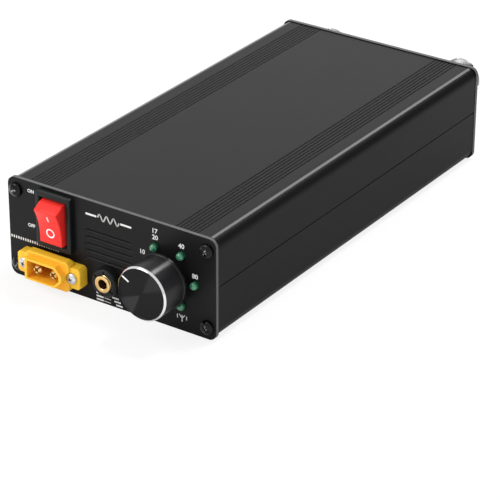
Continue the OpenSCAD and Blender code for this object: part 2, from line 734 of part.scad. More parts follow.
// A flat cable from the back of the lamp board down to the main board.
module ribbon_cable() color("#8d8f92") {
    back = front_y + lamp_board_z + board_t;
    t = 0.9;
    translate([dial_x - 6, 0, 0]) rotate([90, 0, 90]) linear_extrude(12) polygon([
        [back, dial_z - 4], [back + 5, dial_z - 4], [board_y0 + 1, board_top + 4], [board_y0 + 1, board_top],
        [board_y0 + 1 + t, board_top], [board_y0 + 1 + t, board_top + 4 + t / 2], [back + 5 + t / 2, dial_z - 4 + t],
        [back, dial_z - 4 + t]
    ]);
}

// ---- main board and what is on it ----

module main_board() color("#1f5a3a") difference() {
    translate([-board_w / 2, board_y0, board_z]) cube([board_w, board_y1 - board_y0, board_t]);
    translate([-window_w / 2, window_y0, board_z - cut]) cube([window_w, window_y1 - window_y0, board_t + 2 * cut]);
}

module heat_spreader() color("#b4b6b8") difference() {
    translate([0, spreader_y, floor_z]) in_box(spreader_w, spreader_l, spreader_t);
    spreader_holes() cylinder(h = spreader_t + wall + cut, r = spreader_screw_r + 0.01);
    for (x = [-1, 1]) translate([x * die_x, die_y + tab_y, floor_z + 1]) cylinder(h = spreader_t, r = spreader_screw_r);
}

module spreader_screws() color("#8d8f92") spreader_holes() {
    cylinder(h = wall + spreader_t - 0.4, r = spreader_screw_r);
    translate([0, 0, 0.1]) cylinder(h = 1.25, r1 = 2 * spreader_screw_r - 0.15, r2 = spreader_screw_r);
}

module at_dies() for (x = [-1, 1]) translate([x * die_x, die_y, spreader_top]) children();

module thermal_pads() color("#c9c2b2") at_dies() difference() {
    translate([0, 3, 0]) in_box(die_w + 1, die_l + 7.8, pad_t);
    translate([0, tab_y, -cut]) cylinder(h = 3, r = 1.8);
}

module power_transistors() color("#2a2a2c") at_dies() translate([0, 0, pad_t]) difference() {
    lead_z = 2.6;
    riser = board_top - spreader_top - pad_t;
    union() {
        translate([0, 3, 0]) in_box(die_w, die_l + 6.4, 1.3);
        in_box(die_w, die_l, die_h);
        for (x = [-2.54, 0, 2.54]) translate([x - 0.4, 0, 0]) {
            translate([0, -6.3, lead_z]) cube([0.8, 3, 0.5]);
            translate([0, -6.8, lead_z]) cube([0.8, 0.5, riser - lead_z + 0.5]);
            translate([0, window_y0 - die_y - 2.5, riser]) cube([0.8, die_y - window_y0 - 3.8, 0.5]);
        }
    }
    translate([0, tab_y, -cut]) cylinder(h = 4, r = 1.6);
}

module transistor_screws() color("#8d8f92") at_dies() translate([0, tab_y, pad_t + 1.3])
    pan_screw(2.6, 1.6, spreader_screw_r - 0.01, 5);

// A pair of ferrite tubes side by side on the board, along Y.
module tubes(r, bore, l) for (x = [-1, 1]) translate([x * (r + 0.1), l / 2, r + 1]) rotate([90, 0, 0]) difference() {
    cylinder(h = l, r = r);
    translate([0, 0, -cut]) cylinder(h = l + 2 * cut, r = bore);
}

// One turn through both tubes, with its two ends down on the board.
module one_turn(r, bore, l, wire_r) {
    side = r + 0.1;
    reach = l / 2 + bore;
    wire([[-side, -reach, 0], [-side, -reach, r + 1], [-side, reach, r + 1], [side, reach, r + 1],
        [side, -reach, r + 1], [side, -reach, 0]], wire_r);
}

module output_cores() color("#3a3b3d") on_board(0, core_y) tubes(core_r, core_bore_r, core_l);

module output_end_plates() color("#b98a45") for (end = [-1, 1])
    on_board(0, core_y + end * (core_l + plate_t) / 2) difference() {
        in_box(4 * core_r + 2, plate_t, 2 * core_r + 1);
        for (x = [-1, 1]) translate([x * (core_r + 0.1), 2, core_r + 1]) rotate([90, 0, 0])
            cylinder(h = 4, r = core_bore_r - 0.4);
    }

module output_winding() color("#c8402e") on_board(0, core_y) one_turn(core_r, core_bore_r, core_l, winding_r);

module input_core() color("#3a3b3d") on_board(input_x, input_y) tubes(input_r, input_bore_r, input_l);
module input_winding() color("#b86a34") on_board(input_x, input_y)
    one_turn(input_r, input_bore_r, input_l, input_wire_r);

module at_coils() for (x = coil_cols, y = [coil_row_1, coil_row_2]) on_board(x, y) children();

module coil_ring() translate([0, 0, 0.4 + 2 * coil_wire_r]) difference() {
    core_h = coil_h - 4 * coil_wire_r;
    cylinder(h = core_h, r = toroid_r - 2 * coil_wire_r);
    translate([0, 0, -cut]) cylinder(h = core_h + 2 * cut, r = toroid_r - 2 * coil_wire_r - coil_core_w);
}

module filter_cores() color("#a83a32") at_coils() coil_ring();

// The wire round each ring, as one close layer with a gap between its ends.
module filter_windings() color("#b86a34") at_coils() difference() {
    translate([0, 0, 0.4]) cylinder(h = coil_h, r = toroid_r);
    translate([0, 0, -cut]) cylinder(h = coil_h + 2 * cut, r = toroid_r - coil_core_w - 4 * coil_wire_r);
    coil_ring();
    translate([0, -2, -cut]) cube([2 * toroid_r, 4, coil_h + 2 * cut]);
}

module filter_capacitors() color("#c77b2e") for (i = [0 : 2], y = [coil_row_1, coil_row_2])
    on_board((coil_cols[i] + coil_cols[i + 1]) / 2, y) in_box(film_w, film_l, film_h);

module filter_relays() color("#2f4f8f") for (x = [coil_cols[0], coil_cols[3]])
    on_board(x, relay_y) in_box(relay_w, relay_l, relay_h);

module changeover_relays() color("#20262c") for (side = [-1, 1])
    on_board(side * changeover_x, changeover_y) in_box(changeover_w, changeover_l, changeover_h);

module supply_capacitors() color("#23324d") for (side = [-1, 1])
    on_board(side * (can_r + can_gap), board_y1 - rear_margin - can_r) cylinder(h = can_h, r = can_r);

module bias_regulator() color("#2a2a2c") on_board(regulator_x, regulator_y) {
    in_box(regulator_w, regulator_t, regulator_h);
    translate([0, 0.7 - regulator_t / 2, regulator_h]) in_box(regulator_w, 1.4, regulator_tab_h);
}

module fuse_holder() color("#2a2a2c") on_board(holder_x, holder_y) difference() {
    in_box(holder_w, holder_l, holder_h);
    translate([0, 0, holder_floor]) in_box(4, holder_l - 2 * holder_wall, holder_h);
}

module fuse() color("#c8a02e") on_board(holder_x, holder_y) translate([0, 0, holder_floor])
    in_box(4 - 2 * fit_gap, holder_l - 2 * holder_wall - 2 * fit_gap, holder_h + 3);

// ---- rear sockets ----

module coax_shell(out) difference() {
    union() {
        translate([0, 0, -9]) cylinder(h = 9, r = coax_r - 0.4);
        cylinder(h = coax_flange_t, r = coax_flange_r);
        cylinder(h = out, r = coax_r);
    }
    translate([0, 0, 4]) cylinder(h = out, r = coax_bore_r);
    translate([0, 0, -10]) cylinder(h = 20, r = coax_bore_r - 1);
    for (turn = [0 : 60 : 120]) rotate(turn + 15)
        translate([-coax_flange_r, -0.7, out - 1.4]) cube([2 * coax_flange_r, 1.4, 3]);
}

module at_socket(side) at_rear(side * (panel_w / 2 - coax_x), panel_h - coax_z) children();
module at_sockets() for (side = [-1, 1]) at_socket(side) children();

module antenna_socket() color("#c7c9ca") at_socket(1) coax_shell(coax_out);
module input_socket() color("#c7c9ca") at_socket(-1) coax_shell(coax_out - input_short);

module socket_insulators() color("#e9e7df") at_sockets() difference() {
    union() {
        translate([0, 0, -9]) cylinder(h = 13, r = coax_bore_r - 1.01);
        translate([0, 0, 4]) cylinder(h = 1.5, r = coax_bore_r - 0.05);
    }
    translate([0, 0, -10]) cylinder(h = 20, r = coax_pin_r + 0.81);
}

module socket_contacts() color("#d0b060") at_sockets() difference() {
    translate([0, 0, -12]) cylinder(h = coax_out - input_short + 11, r = coax_pin_r + 0.8);
    cylinder(h = coax_out, r = coax_pin_r);
    translate([0, 0, -12 - cut]) cylinder(h = 3 + cut, r = 1.2);
}

module socket_nuts() color("#c7c9ca") at_sockets() translate([0, 0, -panel_t - 2.4])
    hex_nut(2 * coax_r + 2.6, 2.4, coax_r - 0.39);

// ---- leads ----

module supply_leads() color("#c02a24") {
    pin = [socket_x + pin_pitch / 2, front_y + pin_cup, socket_z];
    blade = [switch_x, front_y + switch_depth + 9, switch_z];
    lower_blade = blade + [0, 0, 1 - lever_l / 2];
    wire([pin, pin + [0, 4, 0], lower_blade + [0, 4, 0], lower_blade], 0.9);
    wire([blade, blade + [0, 6, 0], [feed[0], feed[1], board_top + 11], [feed[0], feed[1], board_top]], 0.9);
}

module ground_lead() color("#1a1a1a") {
    pin = [socket_x - pin_pitch / 2, front_y + pin_cup, socket_z];
    wire([pin, pin + [0, 3.6, 0], [pin[0], board_y0 + 1.3, board_top + 4], [pin[0], board_y0 + 1.3, board_top]], 0.9);
}

module signal_leads() color("#7a4a2a") {
    for (side = [-1, 1]) {
        x = side * (panel_w / 2 - coax_x);
        pad = [x - side * 5, board_y1 - 1, board_top];
        z = panel_h - coax_z;
        wire([[x, rear_y - 12, z], [x, rear_y - 15.5, z], pad + [0, 0, 4], pad], 0.7);
    }
    x = jack_x - jack_contact_x;
    wire([[x, front_y + jack_depth + jack_tail_l, jack_z], [x, board_y0 - 4, jack_z],
        [x, board_y0 + 1, board_top + 2], [x, board_y0 + 1, board_top]], 0.6);
}

lower_case();
upper_case();
front_panel();
rear_panel();
front_panel_screws();
rear_panel_screws();
switch_body();
switch_rocker();
switch_plunger();
switch_lever();
switch_terminals();
power_socket();
power_pins();
power_socket_screws();
power_socket_nuts();
jack_body();
jack_bush();
jack_collar();
jack_contacts();
selector_body();
selector_shaft();
selector_wafer();
selector_washer();
selector_nut();
knob();
knob_grub_screw();
lamps();
lamp_legs();
lamp_board();
ribbon_cable();
main_board();
heat_spreader();
spreader_screws();
thermal_pads();
power_transistors();
transistor_screws();
output_cores();
output_end_plates();
output_winding();
input_core();
input_winding();
filter_cores();
filter_windings();
filter_capacitors();
filter_relays();
changeover_relays();
supply_capacitors();
bias_regulator();
fuse_holder();
fuse();
antenna_socket();
input_socket();
socket_insulators();
socket_contacts();
socket_nuts();
supply_leads();
ground_lead();
signal_leads();
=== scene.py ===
import json
import math

import bmesh
import bpy
from mathutils import Matrix, Vector


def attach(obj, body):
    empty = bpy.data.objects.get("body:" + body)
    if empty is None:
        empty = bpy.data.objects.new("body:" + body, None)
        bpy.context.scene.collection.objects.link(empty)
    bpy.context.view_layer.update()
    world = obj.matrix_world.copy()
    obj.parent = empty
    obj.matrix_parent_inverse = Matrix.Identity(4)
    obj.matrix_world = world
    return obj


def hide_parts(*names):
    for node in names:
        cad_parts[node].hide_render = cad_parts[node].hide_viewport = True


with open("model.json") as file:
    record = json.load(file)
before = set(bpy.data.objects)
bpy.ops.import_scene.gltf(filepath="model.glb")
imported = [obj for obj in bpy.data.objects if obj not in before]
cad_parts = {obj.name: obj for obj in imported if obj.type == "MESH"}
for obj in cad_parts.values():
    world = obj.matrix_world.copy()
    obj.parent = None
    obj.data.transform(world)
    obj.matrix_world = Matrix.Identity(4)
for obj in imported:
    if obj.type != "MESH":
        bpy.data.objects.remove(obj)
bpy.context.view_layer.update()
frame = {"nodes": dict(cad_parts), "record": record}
nodes = frame["nodes"]
collection = bpy.context.scene.collection
print("frame loaded:", len(nodes), "nodes")

mm = 0.001
panelFace = 87.1  # how far out the end panels' outer faces stand, in mm
boardTop = 11.4


def newObject(name, data):
    made = bpy.data.objects.new(name, data)
    collection.objects.link(made)
    return made


def newMesh(name, shape):
    mesh = bpy.data.meshes.new(name)
    shape.to_mesh(mesh)
    shape.free()
    return mesh


def facingBack(place, target):
    # A place whose local z points away from a target.
    place = Vector(place)
    turn = (place - Vector(target)).to_track_quat("Z", "Y")
    return Matrix.Translation(place) @ turn.to_matrix().to_4x4()


# camera

photoCamera = {
    "azimuth": 34.19, "elevation": 27.66, "roll": 0.24, "place": (0.4503, -0.6652, 0.4052),
    "lens": 174.8, "sensor": 36, "near": 0.01,
}


def makeCamera(view):
    angles = ("azimuth", "elevation", "roll")
    azimuth, elevation, roll = (math.radians(view[key]) for key in angles)
    back = Vector((
        math.sin(azimuth) * math.cos(elevation),
        -math.cos(azimuth) * math.cos(elevation),
        math.sin(elevation),
    ))
    level = Vector((0, 0, 1)).cross(back).normalized()
    upright = back.cross(level)
    right = level * math.cos(roll) + upright * math.sin(roll)
    up = upright * math.cos(roll) - level * math.sin(roll)
    lens = bpy.data.cameras.new("photoCamera")
    lens.lens = view["lens"]
    lens.sensor_width = view["sensor"]
    lens.clip_start = view["near"]
    camera = newObject("photoCamera", lens)
    turn = Matrix((right, up, back)).transposed().to_4x4()
    camera.matrix_world = Matrix.Translation(view["place"]) @ turn
    bpy.context.scene.camera = camera


makeCamera(photoCamera)
bpy.context.scene.view_settings.view_transform = "Standard"


# shader maths


def summing(operation):
    return lambda self, other: self.sum(operation, self, other)


class Signal:
    # A node's output that takes part in Python sums.
    def __init__(self, finish, socket):
        self.finish = finish
        self.socket = socket

    def sum(self, operation, *values):
        return self.finish.node("ShaderNodeMath", {"operation": operation}, dict(enumerate(values)))

    __add__ = __radd__ = summing("ADD")
    __sub__ = summing("SUBTRACT")
    __mul__ = __rmul__ = summing("MULTIPLY")
    __truediv__ = summing("DIVIDE")
    __pow__ = summing("POWER")
    __lt__ = summing("LESS_THAN")

    def __rsub__(self, other):
        return self.sum("SUBTRACT", other, self)

    def __abs__(self):
        return self.sum("ABSOLUTE", self)


shaderInputs = {
    "colour": "Base Color",
    "roughness": "Roughness",
    "metallic": "Metallic",
    "coat": "Coat Weight",
    "coatRoughness": "Coat Roughness",
    "specular": "Specular IOR Level",
    "stretch": "Anisotropic",
    "stretchTurn": "Anisotropic Rotation",
    "subsurface": "Subsurface Weight",
}


class Finish:
    # One material, with the parts of its node tree that every finish here uses.
    def __init__(self, name, tree=None):
        if tree is None:
            self.material = bpy.data.materials.new(name)
            self.material.use_nodes = True
            tree = self.material.node_tree
            self.shader = tree.nodes["Principled BSDF"]
        self.tree = tree

    def feed(self, socket, value):
        if isinstance(value, Signal):
            self.tree.links.new(value.socket, socket)
        elif socket.type == "RGBA":
            socket.default_value = (*value, 1)
        else:
            socket.default_value = value

    def node(self, kind, settings=None, inputs=None, out=0):
        made = self.tree.nodes.new(kind)
        for key, value in (settings or {}).items():
            setattr(made, key, value)
        for key, value in (inputs or {}).items():
            self.feed(made.inputs[key], value)
        return Signal(self, made.outputs[out])

    def place(self, out="Object"):
        return self.node("ShaderNodeTexCoord", out=out)

    def axes(self, vector):
        split = self.node("ShaderNodeSeparateXYZ", inputs={0: vector}).socket.node
        return [Signal(self, split.outputs[axis]) for axis in range(3)]

    def scaled(self, vector, factors):
        inputs = {0: vector, 1: factors}
        return self.node("ShaderNodeVectorMath", {"operation": "MULTIPLY"}, inputs)

    def noise(self, scale, detail=3, vector=None):
        return self.node(
            "ShaderNodeTexNoise",
            inputs={"Vector": vector or self.place(), "Scale": scale, "Detail": detail},
        )

    def blend(self, factor, first, second):
        # The Mix node keeps its two colours at 6 and 7, and their mixture at output 2.
        inputs = {0: factor, 6: first, 7: second}
        return self.node("ShaderNodeMix", {"data_type": "RGBA"}, inputs, out=2)

    def step(self, value, low, high):
        # 0 below the low value and 1 above the high one, with a soft change between.
        return self.node(
            "ShaderNodeMapRange",
            {"interpolation_type": "SMOOTHSTEP"},
            {"Value": value, "From Min": low, "From Max": high},
        )

    def bump(self, height, strength, depth):
        normal = self.node(
            "ShaderNodeBump",
            inputs={"Height": height, "Strength": strength, "Distance": depth},
        )
        self.feed(self.shader.inputs["Normal"], normal)

    def set(self, **values):
        for key, value in values.items():
            self.feed(self.shader.inputs[shaderInputs[key]], value)


# finishes, whose places and depths are in m


def tinted(colour, factor):
    return tuple(min(1, part * factor) for part in colour)


def mouldedFinish(name, colour, roughness, mottle=0.1, grain=900, bump=0.15, **rest):
    # Plastic, paint or rubber: a slight cloudiness, and a fine moulded grain.
    cloudScale, fineScale, grainDepth = grain * 0.12, grain * 6, 0.00005
    fineSpread, cloudSpread = 0.12, 0.08
    finish = Finish(name)
    cloud = finish.noise(cloudScale)
    fine = finish.noise(fineScale, detail=2)
    rough = (fine - 0.5) * fineSpread + cloud * cloudSpread + (roughness - cloudSpread / 2)
    finish.set(
        colour=finish.blend(cloud, tinted(colour, 1 - mottle), tinted(colour, 1 + mottle)),
        roughness=rough,
        **rest,
    )
    finish.bump(fine, bump, grainDepth)
    return finish.material


def metalFinish(name, colour, roughness, streak=(1, 1, 1), mottle=0.12, bump=0.1, **rest):
    # Bare or plated metal, with marks drawn out along the axis whose factor is small.
    markScale, stainScale, markDepth = 5000, 130, 0.00003
    markSpread, stainSpread = 0.25, 0.1
    finish = Finish(name)
    marks = finish.noise(markScale, detail=4, vector=finish.scaled(finish.place(), streak))
    stain = finish.noise(stainScale)
    rough = (marks - 0.5) * markSpread + stain * stainSpread + (roughness - stainSpread / 2)
    finish.set(
        colour=finish.blend(stain, tinted(colour, 1 - mottle), tinted(colour, 1 + mottle * 0.5)),
        roughness=rough,
        metallic=1.0,
        **rest,
    )
    finish.bump(marks, bump, markDepth)
    return finish.material


caseFilm = {
    "dark": (0.0065, 0.0065, 0.0068), "light": (0.0095, 0.0095, 0.0098),
    "grooveFloorPaintedLight": (0.15, 0.15, 0.152), "middle": 0.019, "grooveBottom": (0.01835, 0.0184),
    "grooveTop": (0.01862, 0.01868), "drawn": (1, 0.02, 1), "roughness": 0.36,
}


def anodisedFinish():
    # The case: a satin black film over extruded aluminium, drawn along its length, with painted
    # light on the floors of the grooves, which are paler and lie in a band of heights above the
    # middle.
    finish = Finish("anodisedCase")
    upwards = finish.axes(finish.place())[2]
    drawn = finish.noise(1400, detail=4, vector=finish.scaled(finish.place(), caseFilm["drawn"]))
    fine = finish.noise(9000, detail=2)
    cloud = finish.noise(28)
    fromMiddle = abs(upwards - caseFilm["middle"])
    aboveBottom = finish.step(fromMiddle, *caseFilm["grooveBottom"])
    inGroove = aboveBottom - finish.step(fromMiddle, *caseFilm["grooveTop"])
    film = finish.blend(cloud * 0.6 + drawn * 0.4, caseFilm["dark"], caseFilm["light"])
    finish.set(
        # the groove floors are painted paler: painted light against the shade that falls in the
        # grooves
        colour=finish.blend(inGroove * 0.9, film, caseFilm["grooveFloorPaintedLight"]),
        roughness=(fine - 0.5) * 0.14 + (drawn - 0.5) * 0.08 + caseFilm["roughness"],
        specular=0.045,
    )
    finish.bump(drawn * 0.6 + fine * 0.4, 0.12, 0.00004)
    return finish.material


endPanel = {
    "mask": ((0.006, 0.006, 0.0063), (0.009, 0.009, 0.0095)),
    "bare": ((0.07, 0.07, 0.068), (0.13, 0.129, 0.126)),
    "middle": 0.0863, "bareHalf": 0.00056, "roughness": 0.36,
}


def panelFinish():
    # The end panels: black mask on the faces, and the bare board where they are cut.
    finish = Finish("panelMask")
    facingOut = finish.axes(finish.place("Normal"))[1]
    depth = finish.axes(finish.place())[1]
    inside = abs(abs(depth) - endPanel["middle"]) < endPanel["bareHalf"]
    cutEdge = (abs(facingOut) < 0.5) * inside
    fine = finish.noise(7000, detail=2)
    cloud = finish.noise(60)
    layers = finish.noise(3000, vector=finish.scaled(finish.place(), (0.1, 3, 0.1)))
    mask = finish.blend(cloud, *endPanel["mask"])
    bare = finish.blend(layers, *endPanel["bare"])
    finish.set(
        colour=finish.blend(cutEdge, mask, bare),
        roughness=(fine - 0.5) * 0.1 + cutEdge * 0.25 + endPanel["roughness"],
        specular=0.12,
    )
    finish.bump(fine, 0.1, 0.00003)
    return finish.material


board = {
    "mask": (0.012, 0.1, 0.045), "track": (0.03, 0.2, 0.09), "tin": (0.55, 0.5, 0.4),
    "holeScale": 160, "holeSize": 0.09, "trackScale": 90, "trackWidth": 0.05,
}


def boardFinish():
    # Green mask over a ground plane, with tracks and plated holes.
    finish = Finish("circuitBoard")
    spot = finish.place()
    cells = finish.node(
        "ShaderNodeTexVoronoi",
        {"distance": "CHEBYCHEV", "feature": "F1"},
        {"Vector": spot, "Scale": board["holeScale"]},
    )
    tracks = finish.node(
        "ShaderNodeTexBrick",
        {"offset": 0.5},
        {
            "Vector": spot, "Scale": board["trackScale"], "Mortar Size": board["trackWidth"],
            "Color1": (0, 0, 0), "Color2": (0, 0, 0), "Mortar": (1, 1, 1),
        },
    )
    holes = cells < board["holeSize"]
    copper = finish.blend(tracks, board["mask"], board["track"])
    finish.set(
        colour=finish.blend(holes, copper, board["tin"]),
        roughness=finish.noise(2500) * 0.2 + 0.28,
        metallic=holes * 0.9,
    )
    finish.bump(tracks, 0.3, 0.00004)
    return finish.material


dial = {"x": 24.5, "z": 19.0}
lamp = {"radius": 1.5, "out": 2.1, "ring": 11, "turns": (90, 30, -30, -90, -150)}


def lampFinish():
    # Tinted resin, with painted shade where the body goes into the panel and a painted glow, paler,
    # in its tip.
    finish = Finish("lampResin")
    depth = finish.axes(finish.place())[1]
    # painted glow and shade: the colour pales from the panel out to the tip
    tip = (depth * -1 - panelFace * mm) / (lamp["out"] * mm)
    swirl = finish.noise(1500)
    paintedGlowAndSwirl = tip * 0.7 + swirl * 0.3
    finish.set(
        colour=finish.blend(paintedGlowAndSwirl, (0.003, 0.06, 0.026), (0.02, 0.26, 0.12)),
        roughness=swirl * 0.08 + 0.06,
        coat=1.0,
        coatRoughness=0.03,
    )
    finish.bump(swirl, 0.05, 0.00005)
    return finish.material


def knobSideFinish():
    # Gloss black over fine turned rings, which draw each highlight out along the knob's axis.
    finish = Finish("knobGloss")
    cloud = finish.noise(150)
    finish.set(
        colour=finish.blend(cloud, (0.004, 0.004, 0.005), (0.0055, 0.0055, 0.0065)),
        roughness=cloud * 0.03 + 0.28,
        specular=0.3,
        stretch=0.9,
        stretchTurn=0.25,
    )
    return finish.material


# light is the colour of the two painted highlight fans, and the fan spans set where they fade in
turnedFace = {
    "dark": (0.006, 0.006, 0.007), "light": (0.06, 0.06, 0.063), "ringScale": 21000,
    "diagonal": -0.7071, "nearPaintedFan": (0.9, 0.955), "farPaintedFan": (0.86, 0.98),
}


def knobFaceFinish():
    # A lathe-turned face: fine rings about the knob's axis, and two fans of light such as they
    # gather, put into the colour as painted highlights, one towards the lower left and a weaker one
    # opposite.
    finish = Finish("knobTurnedFace")
    across, upwards = finish.axes(finish.place())[:2]
    reach = (across * across + upwards * upwards) ** 0.5
    turns = {0: reach * turnedFace["ringScale"]}
    rings = finish.node("ShaderNodeMath", {"operation": "SINE"}, turns)
    toPaintedFan = (across + upwards) * turnedFace["diagonal"] / (reach + 0.0001)
    # painted highlights: two fans of paler colour, which turn with the knob
    nearPaintedFan = finish.step(toPaintedFan, *turnedFace["nearPaintedFan"]) * 0.4
    farPaintedFan = finish.step(toPaintedFan * -1, *turnedFace["farPaintedFan"]) * 0.25
    finish.set(
        colour=finish.blend(nearPaintedFan + farPaintedFan, turnedFace["dark"], turnedFace["light"]),
        roughness=rings * 0.05 + 0.34,
        metallic=0.2,
        specular=0.12,
    )
    finish.bump(rings, 0.25, 0.00002)
    return finish.material


print("finishes")
finishes = {
    "case_black": anodisedFinish(),
    "panel_black": panelFinish(),
    "dark_screws": metalFinish("blackenedScrews", (0.02, 0.02, 0.021), 0.1, bump=0.2),
    "black_nylon": mouldedFinish("blackNylon", (0.008, 0.0095, 0.009), 0.38, specular=0.2),
    "rocker_red": mouldedFinish(
        "rockerRed", (0.86, 0.03, 0.024), 0.34, mottle=0.05, bump=0.06, specular=0.2
    ),
    "socket_yellow": mouldedFinish(
        "socketYellow", (1.0, 0.53, 0.03), 0.42,
        mottle=0.03, bump=0.12, specular=0.3, subsurface=0.15,
    ),
    "gold_plate": metalFinish("goldPlate", (0.78, 0.55, 0.24), 0.24),
    "bright_steel": metalFinish("zincPlate", (0.62, 0.63, 0.66), 0.28),
    "tinned_metal": metalFinish("tinnedBrass", (0.72, 0.71, 0.68), 0.3),
    "white_nylon": mouldedFinish("whiteNylon", (0.75, 0.74, 0.7), 0.42, subsurface=0.1),
    "selector_metal": metalFinish("dieCast", (0.5, 0.5, 0.52), 0.46, bump=0.35),
    "shaft_steel": metalFinish("turnedSteel", (0.56, 0.56, 0.58), 0.26, streak=(1, 0.05, 1)),
    "wafer_brown": mouldedFinish("laminate", (0.3, 0.16, 0.06), 0.5, mottle=0.25, grain=2500),
    "knob_black": knobSideFinish(),
    "lamp_green": lampFinish(),
    "board_green": boardFinish(),
    "cable_grey": mouldedFinish("greyInsulation", (0.3, 0.3, 0.32), 0.5),
    "pad_grey": mouldedFinish("siliconePad", (0.48, 0.46, 0.4), 0.7, mottle=0.15),
    "epoxy_black": mouldedFinish("blackEpoxy", (0.02, 0.02, 0.021), 0.5, bump=0.3),
    "ferrite": mouldedFinish(
        "ferrite", (0.045, 0.045, 0.05), 0.62, mottle=0.3, grain=3000, bump=0.5
    ),
    "brass_plate": metalFinish("bareBrass", (0.6, 0.42, 0.17), 0.32, streak=(1, 1, 0.05)),
    "wire_red": mouldedFinish("redInsulation", (0.55, 0.02, 0.018), 0.4),
    "copper": metalFinish("enamelledCopper", (0.55, 0.19, 0.07), 0.26, coat=0.5),
    "core_red": mouldedFinish("paintedCore", (0.38, 0.03, 0.022), 0.5, mottle=0.2),
    "capacitor_orange": mouldedFinish("dippedFilm", (0.6, 0.19, 0.03), 0.35, mottle=0.12),
    "relay_blue": mouldedFinish("relayCase", (0.03, 0.08, 0.26), 0.4),
    "can_blue": mouldedFinish("canSleeve", (0.02, 0.035, 0.1), 0.3),
    "fuse_amber": mouldedFinish("fuseBody", (0.62, 0.36, 0.04), 0.22, mottle=0.15),
    "socket_nickel": metalFinish("nickelPlate", (0.2, 0.2, 0.205), 0.28, mottle=0.2),
    "wire_black": mouldedFinish("blackInsulation", (0.016, 0.016, 0.016), 0.42),
}
extraFinishes = {
    "print": mouldedFinish("whitePrint", (0.78, 0.78, 0.77), 0.5, mottle=0.04),
    "paint": mouldedFinish("whitePaint", (0.85, 0.85, 0.84), 0.4, mottle=0.03),
    "knobFace": knobFaceFinish(),
    "cutRim": metalFinish("brightCutRim", (0.7, 0.7, 0.71), 0.14, bump=0.05),
    # painted glow: a deeper orange for the light bounced about inside the socket's cavity
    "socketInsidePaintedGlow": mouldedFinish(
        "socketInsidePaintedGlow", (1.0, 0.46, 0.03), 0.45, mottle=0.04, bump=0.12, specular=0.2
    ),
    "wornRecess": metalFinish("wornRecess", (0.8, 0.8, 0.81), 0.22, bump=0.2),
    # painted shade: a dark finish for the recesses of the bright ear screws
    "recessPaintedShade": metalFinish("recessPaintedShade", (0.12, 0.12, 0.125), 0.35, bump=0.2),
}

for subpart in frame["record"]["subparts"]:
    mesh = nodes[subpart["node"]].data
    mesh.materials.clear()
    mesh.materials.append(finishes[subpart["material_slot"]])


# modelling helpers, all in mm until a piece is placed


def facing(x, z, out=0, rear=False):
    # A place on an end panel: local x runs across it, y up it and z straight out of it.
    side = -1 if rear else 1
    turn = Matrix(((side, 0, 0), (0, 0, 1), (0, -side, 0))).transposed()
    return Matrix.Translation((x, -side * (panelFace + out), z)) @ turn.to_4x4()


def moved(shape, *matrices):
    for matrix in matrices:
        shape.transform(matrix)
    return shape


def turned(degrees, axis="Z"):
    return Matrix.Rotation(math.radians(degrees), 4, axis)


def shifted(x=0, y=0, z=0):
    return Matrix.Translation((x, y, z))


def joined(shape):
    # The same shape with its doubles merged and its faces turned outwards.
    bmesh.ops.remove_doubles(shape, verts=shape.verts, dist=0.0005)
    bmesh.ops.recalc_face_normals(shape, faces=shape.faces)
    return shape


def lathe(profile, steps, closed=False):
    shape = bmesh.new()
    points = [shape.verts.new((radius, 0, height)) for radius, height in profile]
    pairs = list(zip(points, points[1:])) + ([(points[-1], points[0])] if closed else [])
    edges = [shape.edges.new(pair) for pair in pairs]
    bmesh.ops.spin(
        shape, geom=points + edges, cent=(0, 0, 0), axis=(0, 0, 1), dvec=(0, 0, 0),
        angle=math.tau, steps=steps, use_merge=True, use_duplicate=False,
    )
    return joined(shape)


def prism(outline, low, high):
    shape = bmesh.new()
    face = shape.faces.new([shape.verts.new((x, y, low)) for x, y in outline])
    grown = bmesh.ops.extrude_face_region(shape, geom=[face])["geom"]
    lifted = [item for item in grown if isinstance(item, bmesh.types.BMVert)]
    bmesh.ops.translate(shape, verts=lifted, vec=(0, 0, high - low))
    openEdges = [edge for edge in shape.edges if edge.is_boundary]
    if openEdges:
        bmesh.ops.holes_fill(shape, edges=openEdges)
    bmesh.ops.recalc_face_normals(shape, faces=shape.faces)
    return shape


def block(low, high):
    shape = bmesh.new()
    bmesh.ops.create_cube(shape, size=1)
    size = Vector(high) - Vector(low)
    bmesh.ops.scale(shape, verts=shape.verts, vec=size)
    bmesh.ops.translate(shape, verts=shape.verts, vec=(Vector(low) + Vector(high)) / 2)
    return shape


def centredBlock(halfWidth, halfHeight, low, high):
    return block((-halfWidth, -halfHeight, low), (halfWidth, halfHeight, high))


def barrel(radius, low, high, steps=48):
    shape = bmesh.new()
    bmesh.ops.create_cone(
        shape, cap_ends=True, segments=steps, radius1=radius, radius2=radius, depth=high - low
    )
    bmesh.ops.translate(shape, verts=shape.verts, vec=(0, 0, (high + low) / 2))
    return shape


def gather(shapes):
    whole = bmesh.new()
    for shape in shapes:
        mesh = newMesh("gathered", shape)
        whole.from_mesh(mesh)
        bpy.data.meshes.remove(mesh)
    return whole


def soften(shape, width, angle=30, steps=2, only=None):
    sharp = [
        edge
        for edge in shape.edges
        if len(edge.link_faces) == 2
        and edge.calc_face_angle(0) > math.radians(angle)
        and (only is None or only(edge))
    ]
    bmesh.ops.bevel(
        shape, geom=sharp, offset=width, offset_type="OFFSET", affect="EDGES",
        segments=steps, profile=0.5, material=-1, clamp_overlap=True,
    )
    return shape


def roundedSlab(outline, back, out, width):
    # A slab with the edges of its front rounded.
    def inFront(edge):
        return all(vert.co.z > out - 0.01 for vert in edge.verts)

    return soften(prism(outline, back, out), width, steps=3, only=inFront)


